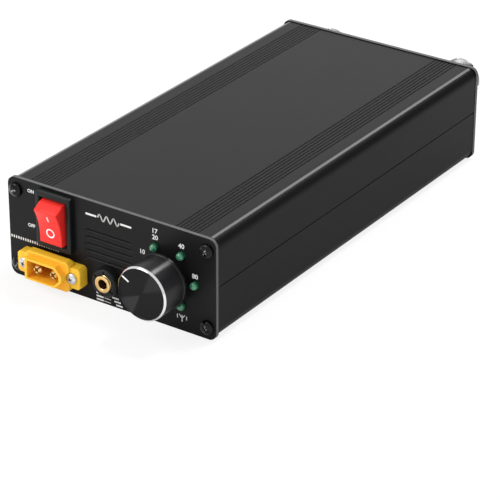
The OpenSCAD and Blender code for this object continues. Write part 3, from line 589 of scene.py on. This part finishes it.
def asShown(holder):
    # The shape of an object with its modifiers or its curve worked out.
    bpy.context.view_layer.update()
    shape = bmesh.new()
    shown = holder.evaluated_get(bpy.context.evaluated_depsgraph_get())
    shape.from_mesh(shown.to_mesh())
    shown.to_mesh_clear()
    return shape


def fromCurve(curve):
    holder = newObject(curve.name, curve)
    shape = asShown(holder)
    bpy.data.objects.remove(holder)
    bpy.data.curves.remove(curve)
    return shape


def carve(shape, tool, operation="DIFFERENCE"):
    # One solid cut from another or joined to it.
    pair = [newObject("carving", newMesh("carving", part)) for part in (shape, tool)]
    step = pair[0].modifiers.new("carving", "BOOLEAN")
    step.operation = operation
    step.solver = "EXACT"
    step.object = pair[1]
    result = asShown(pair[0])
    for part in pair:
        mesh = part.data
        bpy.data.objects.remove(part)
        bpy.data.meshes.remove(mesh)
    return result


def paint(shape, index, chosen):
    for face in shape.faces:
        if chosen(face.calc_center_median()):
            face.material_index = index
    return shape


def finishPiece(
    name, shape, place, slot, extras=(), look=None, body="case", replaced=(), sharp=32, axis=None
):
    # Its first finish is its slot's, unless it has a look of its own.
    shape.transform(place)
    bmesh.ops.scale(shape, verts=shape.verts, vec=(mm, mm, mm))
    for face in shape.faces:
        face.smooth = True
    for edge in shape.edges:
        edge.smooth = len(edge.link_faces) == 2 and edge.calc_face_angle(0) < math.radians(sharp)
    mesh = newMesh(name, shape)
    for finish in (look or finishes[slot], *extras):
        mesh.materials.append(finish)
    piece = newObject(name, mesh)
    if axis is not None:
        # its own frame, so that the finish follows the piece's axis
        home = Matrix.Translation(axis.translation * mm) @ axis.to_3x3().to_4x4()
        mesh.transform(home.inverted())
        piece.matrix_world = home
    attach(piece, body)
    if replaced:
        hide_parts(*replaced)


def cutRect(width, height, cut):
    halfW, halfH = width / 2, height / 2
    return [
        (halfW, halfH - cut), (halfW - cut, halfH), (cut - halfW, halfH), (-halfW, halfH - cut),
        (-halfW, cut - halfH), (cut - halfW, -halfH), (halfW - cut, -halfH), (halfW, cut - halfH),
    ]


def roundRect(width, height, radius):
    outline = []
    steps = 6
    for quarter, (sx, sy) in enumerate(((1, 1), (-1, 1), (-1, -1), (1, -1))):
        for step in range(steps + 1):
            angle = math.radians(90 * (quarter + step / steps))
            outline.append((
                sx * (width / 2 - radius) + radius * math.cos(angle),
                sy * (height / 2 - radius) + radius * math.sin(angle),
            ))
    return outline


# screws

crossHead = {
    # shares of the head's radius
    "dome": 1.6, "crown": 0.93, "armReach": 0.66, "armHalf": 0.13,
    # shares of the head's height
    "armFloor": 0.3, "paintFrom": 0.25, "paintBelow": 0.04,
    # the rim's radius and how far it drops below the crown
    "rim": ((0.985, 0.16), (1, 0.32)),
    "taper": (0.4, 0.6), "arms": (45, 135), "crownSteps": 8,
}


def crossScrew(headRadius, headHeight, shankRadius, shankLength):
    # A pan head with a rounded rim and a tapered cross recess.
    dome = crossHead["dome"] * headRadius
    steps = crossHead["crownSteps"]

    def crownHeight(radius):
        return headHeight - dome + math.sqrt(dome * dome - radius * radius)

    profile = [(0, headHeight)]
    for step in range(1, steps + 1):
        radius = headRadius * crossHead["crown"] * step / steps
        profile.append((radius, crownHeight(radius)))
    rim = profile[-1][1]
    profile += [(headRadius * share, rim - drop * headHeight) for share, drop in crossHead["rim"]]
    profile += [(headRadius, 0), (shankRadius, 0), (shankRadius, -shankLength), (0, -shankLength)]
    head = lathe(profile, steps=40)
    reach, half = crossHead["armReach"] * headRadius, crossHead["armHalf"] * headRadius
    for angle in crossHead["arms"]:
        arm = centredBlock(reach, half, crossHead["armFloor"] * headHeight, 2 * headHeight)
        for vert in arm.verts:
            if vert.co.z < headHeight:
                vert.co.x *= crossHead["taper"][0]
                vert.co.y *= crossHead["taper"][1]
        head = carve(head, moved(arm, turned(angle)))

    def inRecess(centre):
        out = math.hypot(centre.x, centre.y)
        top = crownHeight(min(out, headRadius)) - crossHead["paintBelow"] * headHeight
        return out < reach and headHeight * crossHead["paintFrom"] < centre.z < top

    return paint(head, 1, inRecess)


panelScrew = {"headRadius": 2.6, "headHeight": 1.8, "shankRadius": 1.3, "shankLength": 8}
panelScrewSpots = [(x, z) for x in (-40.4, 40.4) for z in (4.6, 33.4)]
panelScrewTurns = {"front": (12, 70, 38, 20), "rear": (5, 55, 80, 30)}
for name, turns in panelScrewTurns.items():
    heads = []
    rear = name == "rear"
    for (x, z), turn in zip(panelScrewSpots, turns):
        heads.append(moved(crossScrew(**panelScrew), turned(turn), facing(x, z, rear=rear)))
    finishPiece(
        name + "PanelScrewHeads", gather(heads), Matrix(), "dark_screws",
        [extraFinishes["wornRecess"]], replaced=[name + "_panel_screws"],
    )
print("panel screws")


# power switch

switch = {
    "x": -23.0, "z": 26.3, "width": 15, "height": 21.2, "thickness": 2, "corner": 0.8,
    "cutoutWidth": 12.8, "cutoutHeight": 18.4, "wall": 0.8, "floor": 1.2, "depth": 15,
    "flare": 0.35, "flareFrom": 1.65, "clear": 5,
    "springOut": 0.8, "springHalf": 5, "springs": (-4.7, -1.7),
    "slotSpots": (0, -5), "slotHalf": (2.45, 0.45), "slots": (-20, -13),
    "rockerWidth": 9.6, "rockerReach": 8.3, "rockerTop": 6.8, "faceOut": 4.6, "rise": 0.95,
    "pivotIn": 0.5, "rest": 12.5, "axleRadius": 1, "axleHalf": 6.2,
}


def switchFrame():
    halfW, halfH = switch["cutoutWidth"] / 2, switch["cutoutHeight"] / 2
    outline = roundRect(switch["width"], switch["height"], switch["corner"])
    plate = roundedSlab(outline, 0, switch["thickness"], 0.4)
    whole = carve(plate, centredBlock(halfW, halfH, -switch["depth"], 0.4), "UNION")
    out, half = switch["springOut"], switch["springHalf"]
    low, high = switch["springs"]
    for side in (-1, 1):
        spring = block((side * halfW - out, -half, low), (side * halfW + out, half, high))
        whole = carve(whole, soften(spring, 0.3), "UNION")
    opening = Vector((halfW - switch["wall"], halfH - switch["wall"]))
    well = centredBlock(*opening, switch["floor"] - switch["depth"], switch["clear"])
    whole = carve(whole, well)
    flareW, flareH = (size + switch["flare"] for size in opening)
    whole = carve(whole, centredBlock(flareW, flareH, switch["flareFrom"], switch["clear"]))
    slotW, slotH = switch["slotHalf"]
    low, high = switch["slots"]
    for y in switch["slotSpots"]:
        whole = carve(whole, block((-slotW, y - slotH, low), (slotW, y + slotH, high)))
    return whole


finishPiece(
    "switchFrame", switchFrame(), facing(switch["x"], switch["z"]), "black_nylon",
    replaced=["switch_body"],
)


def rockerHeight(y):
    return switch["faceOut"] + switch["rise"] * (y / switch["rockerTop"]) ** 2


def rockerShape():
    top, reach = switch["rockerTop"], switch["rockerReach"]
    face = [(top * step / 8, rockerHeight(top * step / 8)) for step in range(-8, 9)]
    skirt = [(reach - 0.2, 1.8), (reach - 0.25, -1.5), (5, -2.2), (2.5, -4)]
    outline = face + skirt + [(-y, z) for y, z in reversed(skirt)]
    half = switch["rockerWidth"] / 2
    cap = soften(prism(outline, -half, half), 0.3, angle=22, steps=3)
    upright = Matrix(((0, 1, 0), (0, 0, 1), (1, 0, 0))).transposed().to_4x4()
    cap.transform(upright)
    axle = barrel(switch["axleRadius"], -switch["axleHalf"], switch["axleHalf"])
    return carve(cap, moved(axle, turned(90, "Y")), "UNION")


rockerPlace = facing(switch["x"], switch["z"], -switch["pivotIn"]) @ turned(switch["rest"], "X")
finishPiece(
    "rockerCap", rockerShape(), rockerPlace, "rocker_red",
    body="rocker", replaced=["switch_rocker"],
)

rockerMark = {
    "back": -0.3, "out": 0.06, "ring": (1.3, 1.8), "stroke": (0.24, 1.1),
    "ringSpot": (0.1, -2.5), "strokeSpot": (0.3, 3.7),
}


def onRocker(shape, x, y):
    # Lays a flat mark on the rocker's curved face.
    shape.transform(shifted(x, y))
    for vert in shape.verts:
        vert.co.z += rockerHeight(vert.co.y)
    return shape


def rockerMarks():
    back, out = rockerMark["back"], rockerMark["out"]
    inner, outer = rockerMark["ring"]
    ring = lathe([(inner, back), (inner, out), (outer, out), (outer, back)], 64, closed=True)
    stroke = soften(centredBlock(*rockerMark["stroke"], back, out), out)
    return gather([
        onRocker(ring, *rockerMark["ringSpot"]),
        onRocker(stroke, *rockerMark["strokeSpot"]),
    ])


finishPiece(
    "rockerMarks", rockerMarks(), rockerPlace, "rocker_red",
    look=extraFinishes["paint"], body="rocker",
)
print("power switch")


# power socket

socket = {
    "x": -23.9, "z": 8.4, "depth": 13, "walls": 1.8, "clear": 9,
    "earWidth": 27.4, "earHeight": 8, "earCut": 0.9, "earOut": 4.2, "rounding": 0.4,
    "blockWidth": 19, "blockHeight": 11.6, "blockCut": 1.2, "blockBack": 1.9, "blockOut": 5,
    "shroudWidth": 16.2, "shroudHeight": 8.2, "shroudOut": 7.5, "shroudRounding": 0.25,
    "cavityWidth": 13.9, "cavityHeight": 6.6, "cavityFloor": -3,
    "pinPitch": 7.2, "pinBore": 1.76, "pinBoreEnd": -14,
    "screwPitch": 20.8, "screwBore": 1.3, "headRoom": 2.25,
}


def plugOutline(width, height):
    # Two square corners on the left and two cut ones on the right.
    w, h = width / 2, height / 2
    cut, flat = w - 0.7 * h, 0.3 * h
    return [(-w, -h), (cut, -h), (w, -flat), (w, flat), (cut, h), (-w, h)]


def powerSocket():
    clear, rounding = socket["clear"], socket["rounding"]
    outline = cutRect(socket["earWidth"], socket["earHeight"], socket["earCut"])
    ears = roundedSlab(outline, 0, socket["earOut"], rounding)
    outline = cutRect(socket["blockWidth"], socket["blockHeight"], socket["blockCut"])
    middle = roundedSlab(outline, socket["blockBack"], socket["blockOut"], rounding)
    outline = plugOutline(socket["shroudWidth"], socket["shroudHeight"])
    shroud = roundedSlab(outline, 0, socket["shroudOut"], socket["shroudRounding"])
    whole = carve(carve(ears, middle, "UNION"), shroud, "UNION")
    width, height = socket["cavityWidth"], socket["cavityHeight"]
    bodyW, bodyH = width + socket["walls"], height + socket["walls"]
    whole = carve(whole, centredBlock(bodyW / 2, bodyH / 2, -socket["depth"], 1), "UNION")
    whole = carve(whole, prism(plugOutline(width, height), socket["cavityFloor"], clear))
    for side in (-1, 1):
        pin = shifted(side * socket["pinPitch"] / 2)
        screw = shifted(side * socket["screwPitch"] / 2)
        whole = carve(whole, moved(barrel(socket["pinBore"], socket["pinBoreEnd"], 0), pin))
        whole = carve(whole, moved(barrel(socket["screwBore"], -1, clear, steps=32), screw))
        whole = carve(whole, moved(barrel(socket["headRoom"], socket["earOut"], clear), screw))

    def inCavity(centre):
        inWidth = abs(centre.x) < width / 2 + 0.05
        inHeight = abs(centre.y) < height / 2 + 0.05
        return inWidth and inHeight and centre.z < socket["shroudOut"] - 0.3

    # the cavity's faces take the deeper orange of painted bounce light
    return paint(whole, 1, inCavity)


socketPlace = facing(socket["x"], socket["z"])
finishPiece(
    "supplySocketShell", powerSocket(), socketPlace, "socket_yellow",
    [extraFinishes["socketInsidePaintedGlow"]], replaced=["power_socket"],
)
earScrew = {"headRadius": 2.1, "headHeight": 1.4, "shankRadius": 1.2, "shankLength": 8.6}
earScrews = []
for side, turn in ((-1, 20), (1, 64)):
    spot = shifted(side * socket["screwPitch"] / 2, 0, socket["earOut"])
    earScrews.append(moved(crossScrew(**earScrew), turned(turn), spot))
# the cross recesses take painted shade
finishPiece(
    "supplySocketScrews", gather(earScrews), socketPlace, "bright_steel",
    [extraFinishes["recessPaintedShade"]], replaced=["power_socket_screws"],
)
print("power socket")


# key jack

jack = {
    "x": -0.7, "z": 9.8, "bushRadius": 3.2, "bushOut": 4, "bushBack": -2.6, "shoulder": -1.6,
    "bore": 1.8, "threadPitch": 0.5, "threadDepth": 0.2,
    "collarRadius": 5.3, "collarOut": 3.4, "slots": (25, 85, 145), "slotHalf": 0.4,
}


def threadProfile(radius, low, high, pitch, depth):
    # The crests and roots of a thread, from low to high.
    count = max(1, round((high - low) / pitch))
    step = (high - low) / count
    points = []
    for turn in range(count):
        start = low + turn * step
        crest = [(radius, start + share * step) for share in (0.4, 0.6)]
        points += [(radius - depth, start), *crest]
    return points + [(radius - depth, high)]


def jackBush():
    out, bore, radius = jack["bushOut"], jack["bore"], jack["bushRadius"]
    back, shoulder = jack["bushBack"], jack["shoulder"]
    profile = [(radius + 0.6, back), (radius + 0.6, shoulder), (radius - 0.15, shoulder)]
    profile += threadProfile(radius, shoulder, out - 0.8, jack["threadPitch"], jack["threadDepth"])
    profile += [
        (radius, out - 0.6), (radius, out - 0.3), (radius - 0.12, out - 0.08),
        (radius - 0.35, out), (2.55, out), (2.45, out - 0.18), (2.25, out - 0.18),
        (2.15, out - 0.02), (bore + 0.22, out - 0.02), (bore + 0.04, out - 0.2),
        (bore, out - 0.4), (bore, back),
    ]
    return lathe(profile, steps=64, closed=True)


def jackCollar():
    radius, out, bore = jack["collarRadius"], jack["collarOut"], jack["bushRadius"] + 0.02
    profile = [
        (bore, 0), (radius - 0.2, 0), (radius, 0.2), (radius, out - 0.9),
        (radius - 0.12, out - 0.6), (radius - 0.5, out - 0.15), (radius - 0.9, out),
        (bore + 0.5, out), (bore + 0.1, out - 0.15), (bore, out - 0.4),
    ]
    nut = lathe(profile, steps=80, closed=True)
    for angle in jack["slots"]:
        slot = centredBlock(7, jack["slotHalf"], out - 0.35, out + 1)
        nut = carve(nut, moved(slot, turned(angle)))
    return nut


jackPlace = facing(jack["x"], jack["z"])
finishPiece("jackBushBrass", jackBush(), jackPlace, "gold_plate", replaced=["jack_bush"])
finishPiece("jackCollarNut", jackCollar(), jackPlace, "black_nylon", replaced=["jack_collar"])
print("key jack")


# band dial

knob = {
    "radius": 10.2, "base": 3.6, "top": 15.4, "skirt": 0.25, "chamfer": 0.6, "pointer": 60,
    "bore": 3.01, "boreEnd": 13.1, "hollow": 6.6, "hollowDeep": 0.6, "dish": 0.2,
    "grooveHalf": 0.45, "groove": (0.58, 0.92), "grooveDeep": 0.4,
    "lineHalf": 0.32, "line": (0.6, 0.918), "lineBack": 14.98, "lineOut": 15.18,
    "grubRadius": 1.5, "grubUp": 3, "grubSpan": (2, 12),
}


def knobShape():
    keys = ("radius", "base", "top", "skirt", "chamfer")
    radius, base, top, skirt, chamfer = (knob[key] for key in keys)
    side, under, face = radius - skirt, base + knob["hollowDeep"], top - knob["dish"]
    profile = [
        (0, knob["boreEnd"]), (knob["bore"], knob["boreEnd"]), (knob["bore"], under),
        (knob["hollow"], under), (knob["hollow"], base),
        (radius - 0.4, base), (radius - 0.1, base + 0.12), (radius, base + 0.4),
        (radius, base + 1.1), (radius - 0.06, base + 1.26), (side + 0.02, base + 1.42),
        (side, base + 1.7), (side, top - chamfer - 0.06), (side - 0.02, top - chamfer),
        (side - chamfer, top), (side - chamfer - 0.3, top), (side - chamfer - 0.5, face),
        (0, face),
    ]
    half, (start, end) = knob["grooveHalf"], knob["groove"]
    low, high = top - knob["grooveDeep"], top + 1
    groove = block((-half, start * radius, low), (half, end * radius, high))
    pocket = barrel(knob["grubRadius"], *knob["grubSpan"], steps=32)
    pocket = moved(pocket, turned(-90, "Y"), shifted(0, 0, base + knob["grubUp"]))
    shape = carve(carve(lathe(profile, steps=144), groove), pocket)

    def rim(centre):
        reach = math.hypot(centre.x, centre.y)
        return centre.z > top - chamfer and reach > side - chamfer - 0.05

    paint(shape, 1, lambda centre: centre.z > top - 0.5 and not rim(centre))
    return paint(shape, 2, rim)


def pointerLine():
    half = knob["lineHalf"]
    start, end = (share * knob["radius"] for share in knob["line"])
    return soften(block((-half, start, knob["lineBack"]), (half, end, knob["lineOut"])), 0.04)


dialPlace = facing(dial["x"], dial["z"])
knobPlace = dialPlace @ turned(knob["pointer"])
finishPiece(
    "knobBody", knobShape(), knobPlace, "knob_black",
    [extraFinishes["knobFace"], extraFinishes["cutRim"]],
    body="band_knob", replaced=["knob"], axis=dialPlace,
)
finishPiece(
    "knobPointer", pointerLine(), knobPlace, "knob_black",
    look=extraFinishes["paint"], body="band_knob",
)


def lampShape():
    radius, centre = lamp["radius"], lamp["out"] - lamp["radius"]
    profile = [(0, -2.6), (radius + 0.35, -2.6), (radius + 0.35, -1.7), (radius, -1.7)]
    for step in range(11):
        angle = math.radians(9 * step)
        profile.append((radius * math.cos(angle), centre + radius * math.sin(angle)))
    return lathe(profile, steps=40)


lampRing = [moved(lampShape(), shifted(0, lamp["ring"]), turned(turn)) for turn in lamp["turns"]]
finishPiece("bandLamps", gather(lampRing), dialPlace, "lamp_green", replaced=["lamps"])
print("band dial")


# print on the front panel

labels = [
    # words, height, x and z
    ("ON", 1.3, -33.9, 34.4), ("OFF", 1.3, -34.1, 21.1),
    ("17", 1.75, 19.0, 34.5), ("20", 1.75, 19.2, 32.1), ("10", 1.7, 13.7, 25.2),
    ("40", 1.75, 30.0, 32.0), ("80", 1.75, 35.5, 22.2),
]
wave = {
    "x": -0.4, "z": 32.9, "length": 9, "cycles": 3, "height": 1.05, "line": 0.55, "steps": 72,
    "overlap": 0.12, "ruleOut": 7.4, "rule": (4.6, 0.7),
}
legend = {
    # the parts of a row: x, width, height and how far each row moves it on
    "parts": ((-4.8, 3.0, 0.6, 0), (-1.5, 2.8, 0.22, 0), (1.9, 2.8, 0.6, 0.8)),
    "z": 3.5, "rows": 3, "pitch": 1.25,
}
ticks = {"x": -43.2, "z": 14.75, "pitch": 1.03, "count": 21, "tick": (0.5, 1.0)}
aerial = {
    "x": 30.0, "z": 4.7, "mast": (0.35, 2.6), "arm": (0.35, 1.7), "armSpot": (0.62, 0.75),
    "armLean": 40, "stroke": (0.3, 1.5), "strokeSpot": (1.9, 0.5),
}


def words(text, height, x, z):
    # Plain lettering on the panel's face, centred on a point.
    curve = bpy.data.curves.new("lettering", "FONT")
    curve.body = text
    curve.size = height / 0.72  # a capital's share of the size
    curve.align_x = curve.align_y = "CENTER"
    curve.extrude = 0.02
    curve.offset = 0.03 * height
    curve.resolution_u = 3
    shape = fromCurve(curve)
    bmesh.ops.remove_doubles(shape, verts=shape.verts, dist=0.001)
    return moved(shape, shifted(x, z, 0.02))


def bar(x, z, width, height, angle=0):
    return moved(centredBlock(width / 2, height / 2, 0, 0.04), turned(angle), shifted(x, z))


def waveMarks():
    # A sine wave between two plain rules, where a title would stand.
    found = []
    steps, x, z = wave["steps"], wave["x"], wave["z"]
    for step in range(steps):
        ends = [(step + more) / steps for more in (0, 1)]
        x0, x1 = ((share - 0.5) * wave["length"] for share in ends)
        z0, z1 = (wave["height"] * math.sin(share * math.tau * wave["cycles"]) for share in ends)
        run = math.hypot(x1 - x0, z1 - z0) + wave["overlap"]
        angle = math.degrees(math.atan2(z1 - z0, x1 - x0))
        found.append(bar(x + (x0 + x1) / 2, z + (z0 + z1) / 2, run, wave["line"], angle))
    return found + [bar(x + side * wave["ruleOut"], z, *wave["rule"]) for side in (-1, 1)]


def legendMarks():
    # Plain rows under the jack, each a bar, a line and a bar.
    return [
        bar(x + row * shift, legend["z"] - row * legend["pitch"], width, height)
        for row in range(legend["rows"])
        for x, width, height, shift in legend["parts"]
    ]


def tickMarks():
    # A row of short ticks, as on a scale.
    spots = [ticks["x"] + step * ticks["pitch"] for step in range(ticks["count"])]
    return [bar(spot, ticks["z"], *ticks["tick"]) for spot in spots]


def aerialMarks():
    # A mast with two arms, and a short stroke at each side.
    x, z = aerial["x"], aerial["z"]
    (armX, armZ), (strokeX, strokeZ) = aerial["armSpot"], aerial["strokeSpot"]
    found = [bar(x, z, *aerial["mast"])]
    for side in (-1, 1):
        lean = -side * aerial["armLean"]
        found.append(bar(x + side * armX, z + armZ, *aerial["arm"], lean))
        found.append(bar(x + side * strokeX, z + strokeZ, *aerial["stroke"]))
    return found


marks = [words(*label) for label in labels]
marks += waveMarks() + legendMarks() + tickMarks() + aerialMarks()
finishPiece(
    "panelPrint", gather(marks), facing(0, 0), "panel_black", look=extraFinishes["print"]
)
print("front panel print")


# rear sockets

coax = {
    "side": 28.6, "z": 24.9, "radius": 7.94, "flange": 10.5, "flangeOut": 2, "back": -9,
    "bore": 6.2, "step": 1, "stepAt": 4, "pitch": 1.06, "threadDepth": 0.5,
    "slots": (15, 75, 135), "slotHalf": 0.7, "slotDeep": 1.4,
}
coaxSockets = (
    ("aerialSocketShell", "antenna_socket", 1, 15.4),
    ("driveSocketShell", "input_socket", -1, 12.5),
)


def coaxShell(out):
    radius, flange, bore, back = (coax[key] for key in ("radius", "flange", "bore", "back"))
    narrow, edge = bore - coax["step"], coax["flangeOut"]
    profile = [
        (narrow, back), (radius - 0.4, back), (radius - 0.4, 0), (flange, 0),
        (flange, edge - 0.5), (flange - 0.15, edge - 0.15), (flange - 0.5, edge),
    ]
    profile += threadProfile(radius, edge, out - 2, coax["pitch"], coax["threadDepth"])
    profile += [
        (radius, out - 1.6), (radius, out - 0.3), (radius - 0.3, out), (bore + 0.25, out),
        (bore, out - 0.25), (bore, coax["stepAt"]), (narrow, coax["stepAt"]),
    ]
    shell = lathe(profile, steps=96, closed=True)
    for turn in coax["slots"]:
        slot = centredBlock(12, coax["slotHalf"], out - coax["slotDeep"], out + 2)
        shell = carve(shell, moved(slot, turned(turn)))
    return shell


for name, node, side, out in coaxSockets:
    place = facing(side * coax["side"], coax["z"], rear=True)
    finishPiece(name, coaxShell(out), place, "socket_nickel", replaced=[node])
print("rear sockets")


# wires


def bent(points, radius):
    # The same path with each corner turned on a short arc.
    steps = 5
    points = [Vector(point) for point in points]
    path = [points[0]]
    for before, corner, after in zip(points, points[1:], points[2:]):
        reach = min(radius, (before - corner).length * 0.45, (after - corner).length * 0.45)
        start = corner + (before - corner).normalized() * reach
        end = corner + (after - corner).normalized() * reach
        for step in range(steps + 1):
            share = step / steps
            path.append(start.lerp(corner, share).lerp(corner.lerp(end, share), share))
    return path + [points[-1]]


def tubes(paths, radius, sides=2):
    curve = bpy.data.curves.new("wire", "CURVE")
    curve.dimensions = "3D"
    curve.bevel_depth = radius
    curve.bevel_resolution = sides
    curve.use_fill_caps = True
    for path in paths:
        spline = curve.splines.new("POLY")
        spline.points.add(len(path) - 1)
        for point, place in zip(spline.points, path):
            point.co = (*place, 1)
    return joined(fromCurve(curve))


coil = {
    "columns": (-31.5, -10.5, 10.5, 31.5), "rows": (-51.1, -35.1), "turns": 14, "wire": 0.3,
    "perTurn": 14, "from": 22, "sweep": 316, "radius": 4.7, "across": 1.4, "above": 2.7,
    "squareness": 0.55, "middle": 3.4, "endsUp": 0.4,
}


def coilPath(x, y):
    # A wire wound round a rectangular section, its ends down on the board.
    def squared(wave, half):
        return half * math.copysign(abs(wave) ** coil["squareness"], wave)

    count = coil["turns"] * coil["perTurn"]
    path = []
    for step in range(count + 1):
        along = math.radians(coil["from"] + coil["sweep"] * step / count)
        over = math.tau * coil["turns"] * step / count
        radius = coil["radius"] + squared(math.cos(over), coil["across"])
        height = boardTop + coil["middle"] + squared(math.sin(over), coil["above"])
        path.append((x + radius * math.cos(along), y + radius * math.sin(along), height))
    first, last = ((*path[at][:2], boardTop + coil["endsUp"]) for at in (0, -1))
    return [first, *path, last]


coilPaths = [coilPath(x, y) for x in coil["columns"] for y in coil["rows"]]
finishPiece(
    "filterCoils", tubes(coilPaths, coil["wire"], sides=1), Matrix(), "copper",
    replaced=["filter_windings"], sharp=60,
)


def throughTubes(x, y, radius, bore, length):
    # One turn of wire down the two bores of a core that lies on the board.
    side, reach, up = radius + 0.1, length / 2 + bore, radius + 1
    corners = [
        (-side, -reach, 0), (-side, -reach, up), (-side, reach, up),
        (side, reach, up), (side, -reach, up), (side, -reach, 0),
    ]
    return bent([(x + px, y + py, boardTop + pz) for px, py, pz in corners], bore * 0.8)


def level(x, bend, *places):
    # A wire whose corners all stand at the same distance from the middle.
    return bent([(x, *place) for place in places], bend)


ribbonLanes = [18.95 + 1.233 * lane for lane in range(10)]
wires = {
    # the node replaced, the slot, the radius and the paths
    "outputTurn": ("output_winding", "wire_red", 1.2, [throughTubes(0, -9, 7, 3, 28)]),
    "inputTurn": ("input_winding", "copper", 0.6, [throughTubes(30, -0.9, 3.4, 1.6, 12)]),
    "supplyWires": ("supply_leads", "wire_red", 0.9, [
        bent([
            (-20.3, -69.1, 8.4), (-20.3, -65.1, 8.4), (-23, -59.1, 21.3), (-23, -63.1, 21.3),
        ], 2.2),
        bent([
            (-23, -63.1, 26.3), (-23, -57.1, 26.3), (-21, -14, 22.4), (-21, -14, 11.4),
        ], 2.5),
    ]),
    "groundWire": ("ground_lead", "wire_black", 0.9, [
        level(-27.5, 2, (-69.1, 8.4), (-65.5, 8.4), (-58.8, 15.4), (-58.8, 11.4)),
    ]),
    "signalWires": ("signal_leads", "copper", 0.65, [
        bent([
            (side * 28.6, 75.1, 24.9), (side * 28.6, 71.6, 24.9),
            (side * 23.6, 68.1, 15.4), (side * 23.6, 68.1, 11.4),
        ], 2)
        for side in (1, -1)
    ] + [level(-4.5, 1.2, (-70.5, 9.8), (-64.1, 9.8), (-59.1, 13.4), (-59.1, 11.4))]),
    "ribbonWires": ("ribbon_cable", "cable_grey", 0.45, [
        level(x, 1.5, (-72.3, 15.45), (-67.1, 15.45), (-58.65, 15.4), (-58.65, 11.4))
        for x in ribbonLanes
    ]),
}
for name, (node, slot, radius, paths) in wires.items():
    finishPiece(name, tubes(paths, radius), Matrix(), slot, replaced=[node], sharp=60)
print("wires")


# floor and light

studio = {
    "floorGrey": 0.9, "floorGlow": (0.85, 0.25, 0.85), "floorReach": 4, "floorDrop": 0.0001,
    "surround": 0.7,
    "key": {"place": (-0.65, -0.85, 1.0), "size": (0.8, 0.8), "watts": 9},
    "back": {"place": (0.06, 0.98, 0.92), "size": (0.4, 0.22), "watts": 3.6},
    "top": {"place": (0.21, 0.42, 1.27), "size": (0.3, 0.32), "watts": 12},
    "sheen": {"place": (-0.75, 1.08, 0.72), "size": (1.1, 0.8), "watts": 3},
    "lampTarget": (0, 0, 0.02),
    "flag": {"place": (0.52, 0.72, 0.34), "size": (1.0, 0.68), "target": (0, 0, 0.03)},
}


def seenDirectly(finish, weights=(1, 1, 1)):
    # How much the camera, reflections and clear pieces see of the studio's white.
    rays = finish.node("ShaderNodeLightPath").socket.node
    kinds = ("Is Camera Ray", "Is Glossy Ray", "Is Transmission Ray")
    flags = [Signal(finish, rays.outputs[kind]) * weight for kind, weight in zip(kinds, weights)]
    settings = {"operation": "ADD", "use_clamp": True}
    return finish.node("ShaderNodeMath", settings, {0: flags[0] + flags[1], 1: flags[2]})


def card(name, reach):
    # A flat square that reaches this far from its middle.
    shape = bmesh.new()
    bmesh.ops.create_grid(shape, x_segments=1, y_segments=1, size=reach)
    return newMesh(name, shape)


def makeFloor():
    mesh = card("floor", studio["floorReach"])
    mesh.transform(shifted(z=-studio["floorDrop"]))
    floor = newObject("floor", mesh)
    finish = Finish("floorPaper")
    grey = studio["floorGrey"]
    cloud = finish.noise(3)
    finish.set(
        colour=finish.blend(cloud, (grey * 0.99,) * 3, (grey,) * 3),
        roughness=cloud * 0.05 + 0.9,
        specular=0.0,
    )
    glow = finish.node("ShaderNodeEmission", inputs={"Color": (1, 1, 1), "Strength": 1.0})
    seen = seenDirectly(finish, studio["floorGlow"])
    paper = Signal(finish, finish.shader.outputs[0])
    mixed = finish.node("ShaderNodeMixShader", inputs={0: seen, 1: paper, 2: glow})
    finish.feed(finish.tree.nodes["Material Output"].inputs["Surface"], mixed)
    mesh.materials.append(finish.material)


def makeSurround():
    world = bpy.data.worlds.new("studio")
    bpy.context.scene.world = world
    world.use_nodes = True
    surround = Finish("surround", world.node_tree)
    background = world.node_tree.nodes["Background"]
    strength = seenDirectly(surround) * (1 - studio["surround"]) + studio["surround"]
    surround.feed(background.inputs["Strength"], strength)
    surround.feed(background.inputs["Color"], (1, 1, 1))


def makeFlag(spec):
    # A black card that the camera doesn't see: what the case's right-hand edge reflects.
    mesh = card("flag", 0.5)
    mesh.transform(Matrix.Diagonal((*spec["size"], 1, 1)))
    mesh.transform(facingBack(spec["place"], spec["target"]))
    mesh.materials.append(mouldedFinish("flagCloth", (0.003, 0.003, 0.003), 0.9, specular=0.0))
    flag = newObject("flag", mesh)
    flag.visible_camera = False


def makeLamp(name, spec):
    light = bpy.data.lights.new(name, "AREA")
    light.shape = "RECTANGLE"
    light.size, light.size_y = spec["size"]
    light.energy = spec["watts"]
    newObject(name, light).matrix_world = facingBack(spec["place"], studio["lampTarget"])


makeFloor()
makeSurround()
makeFlag(studio["flag"])
for name in ("key", "back", "top", "sheen"):
    makeLamp(name + "Light", studio[name])
print("studio")
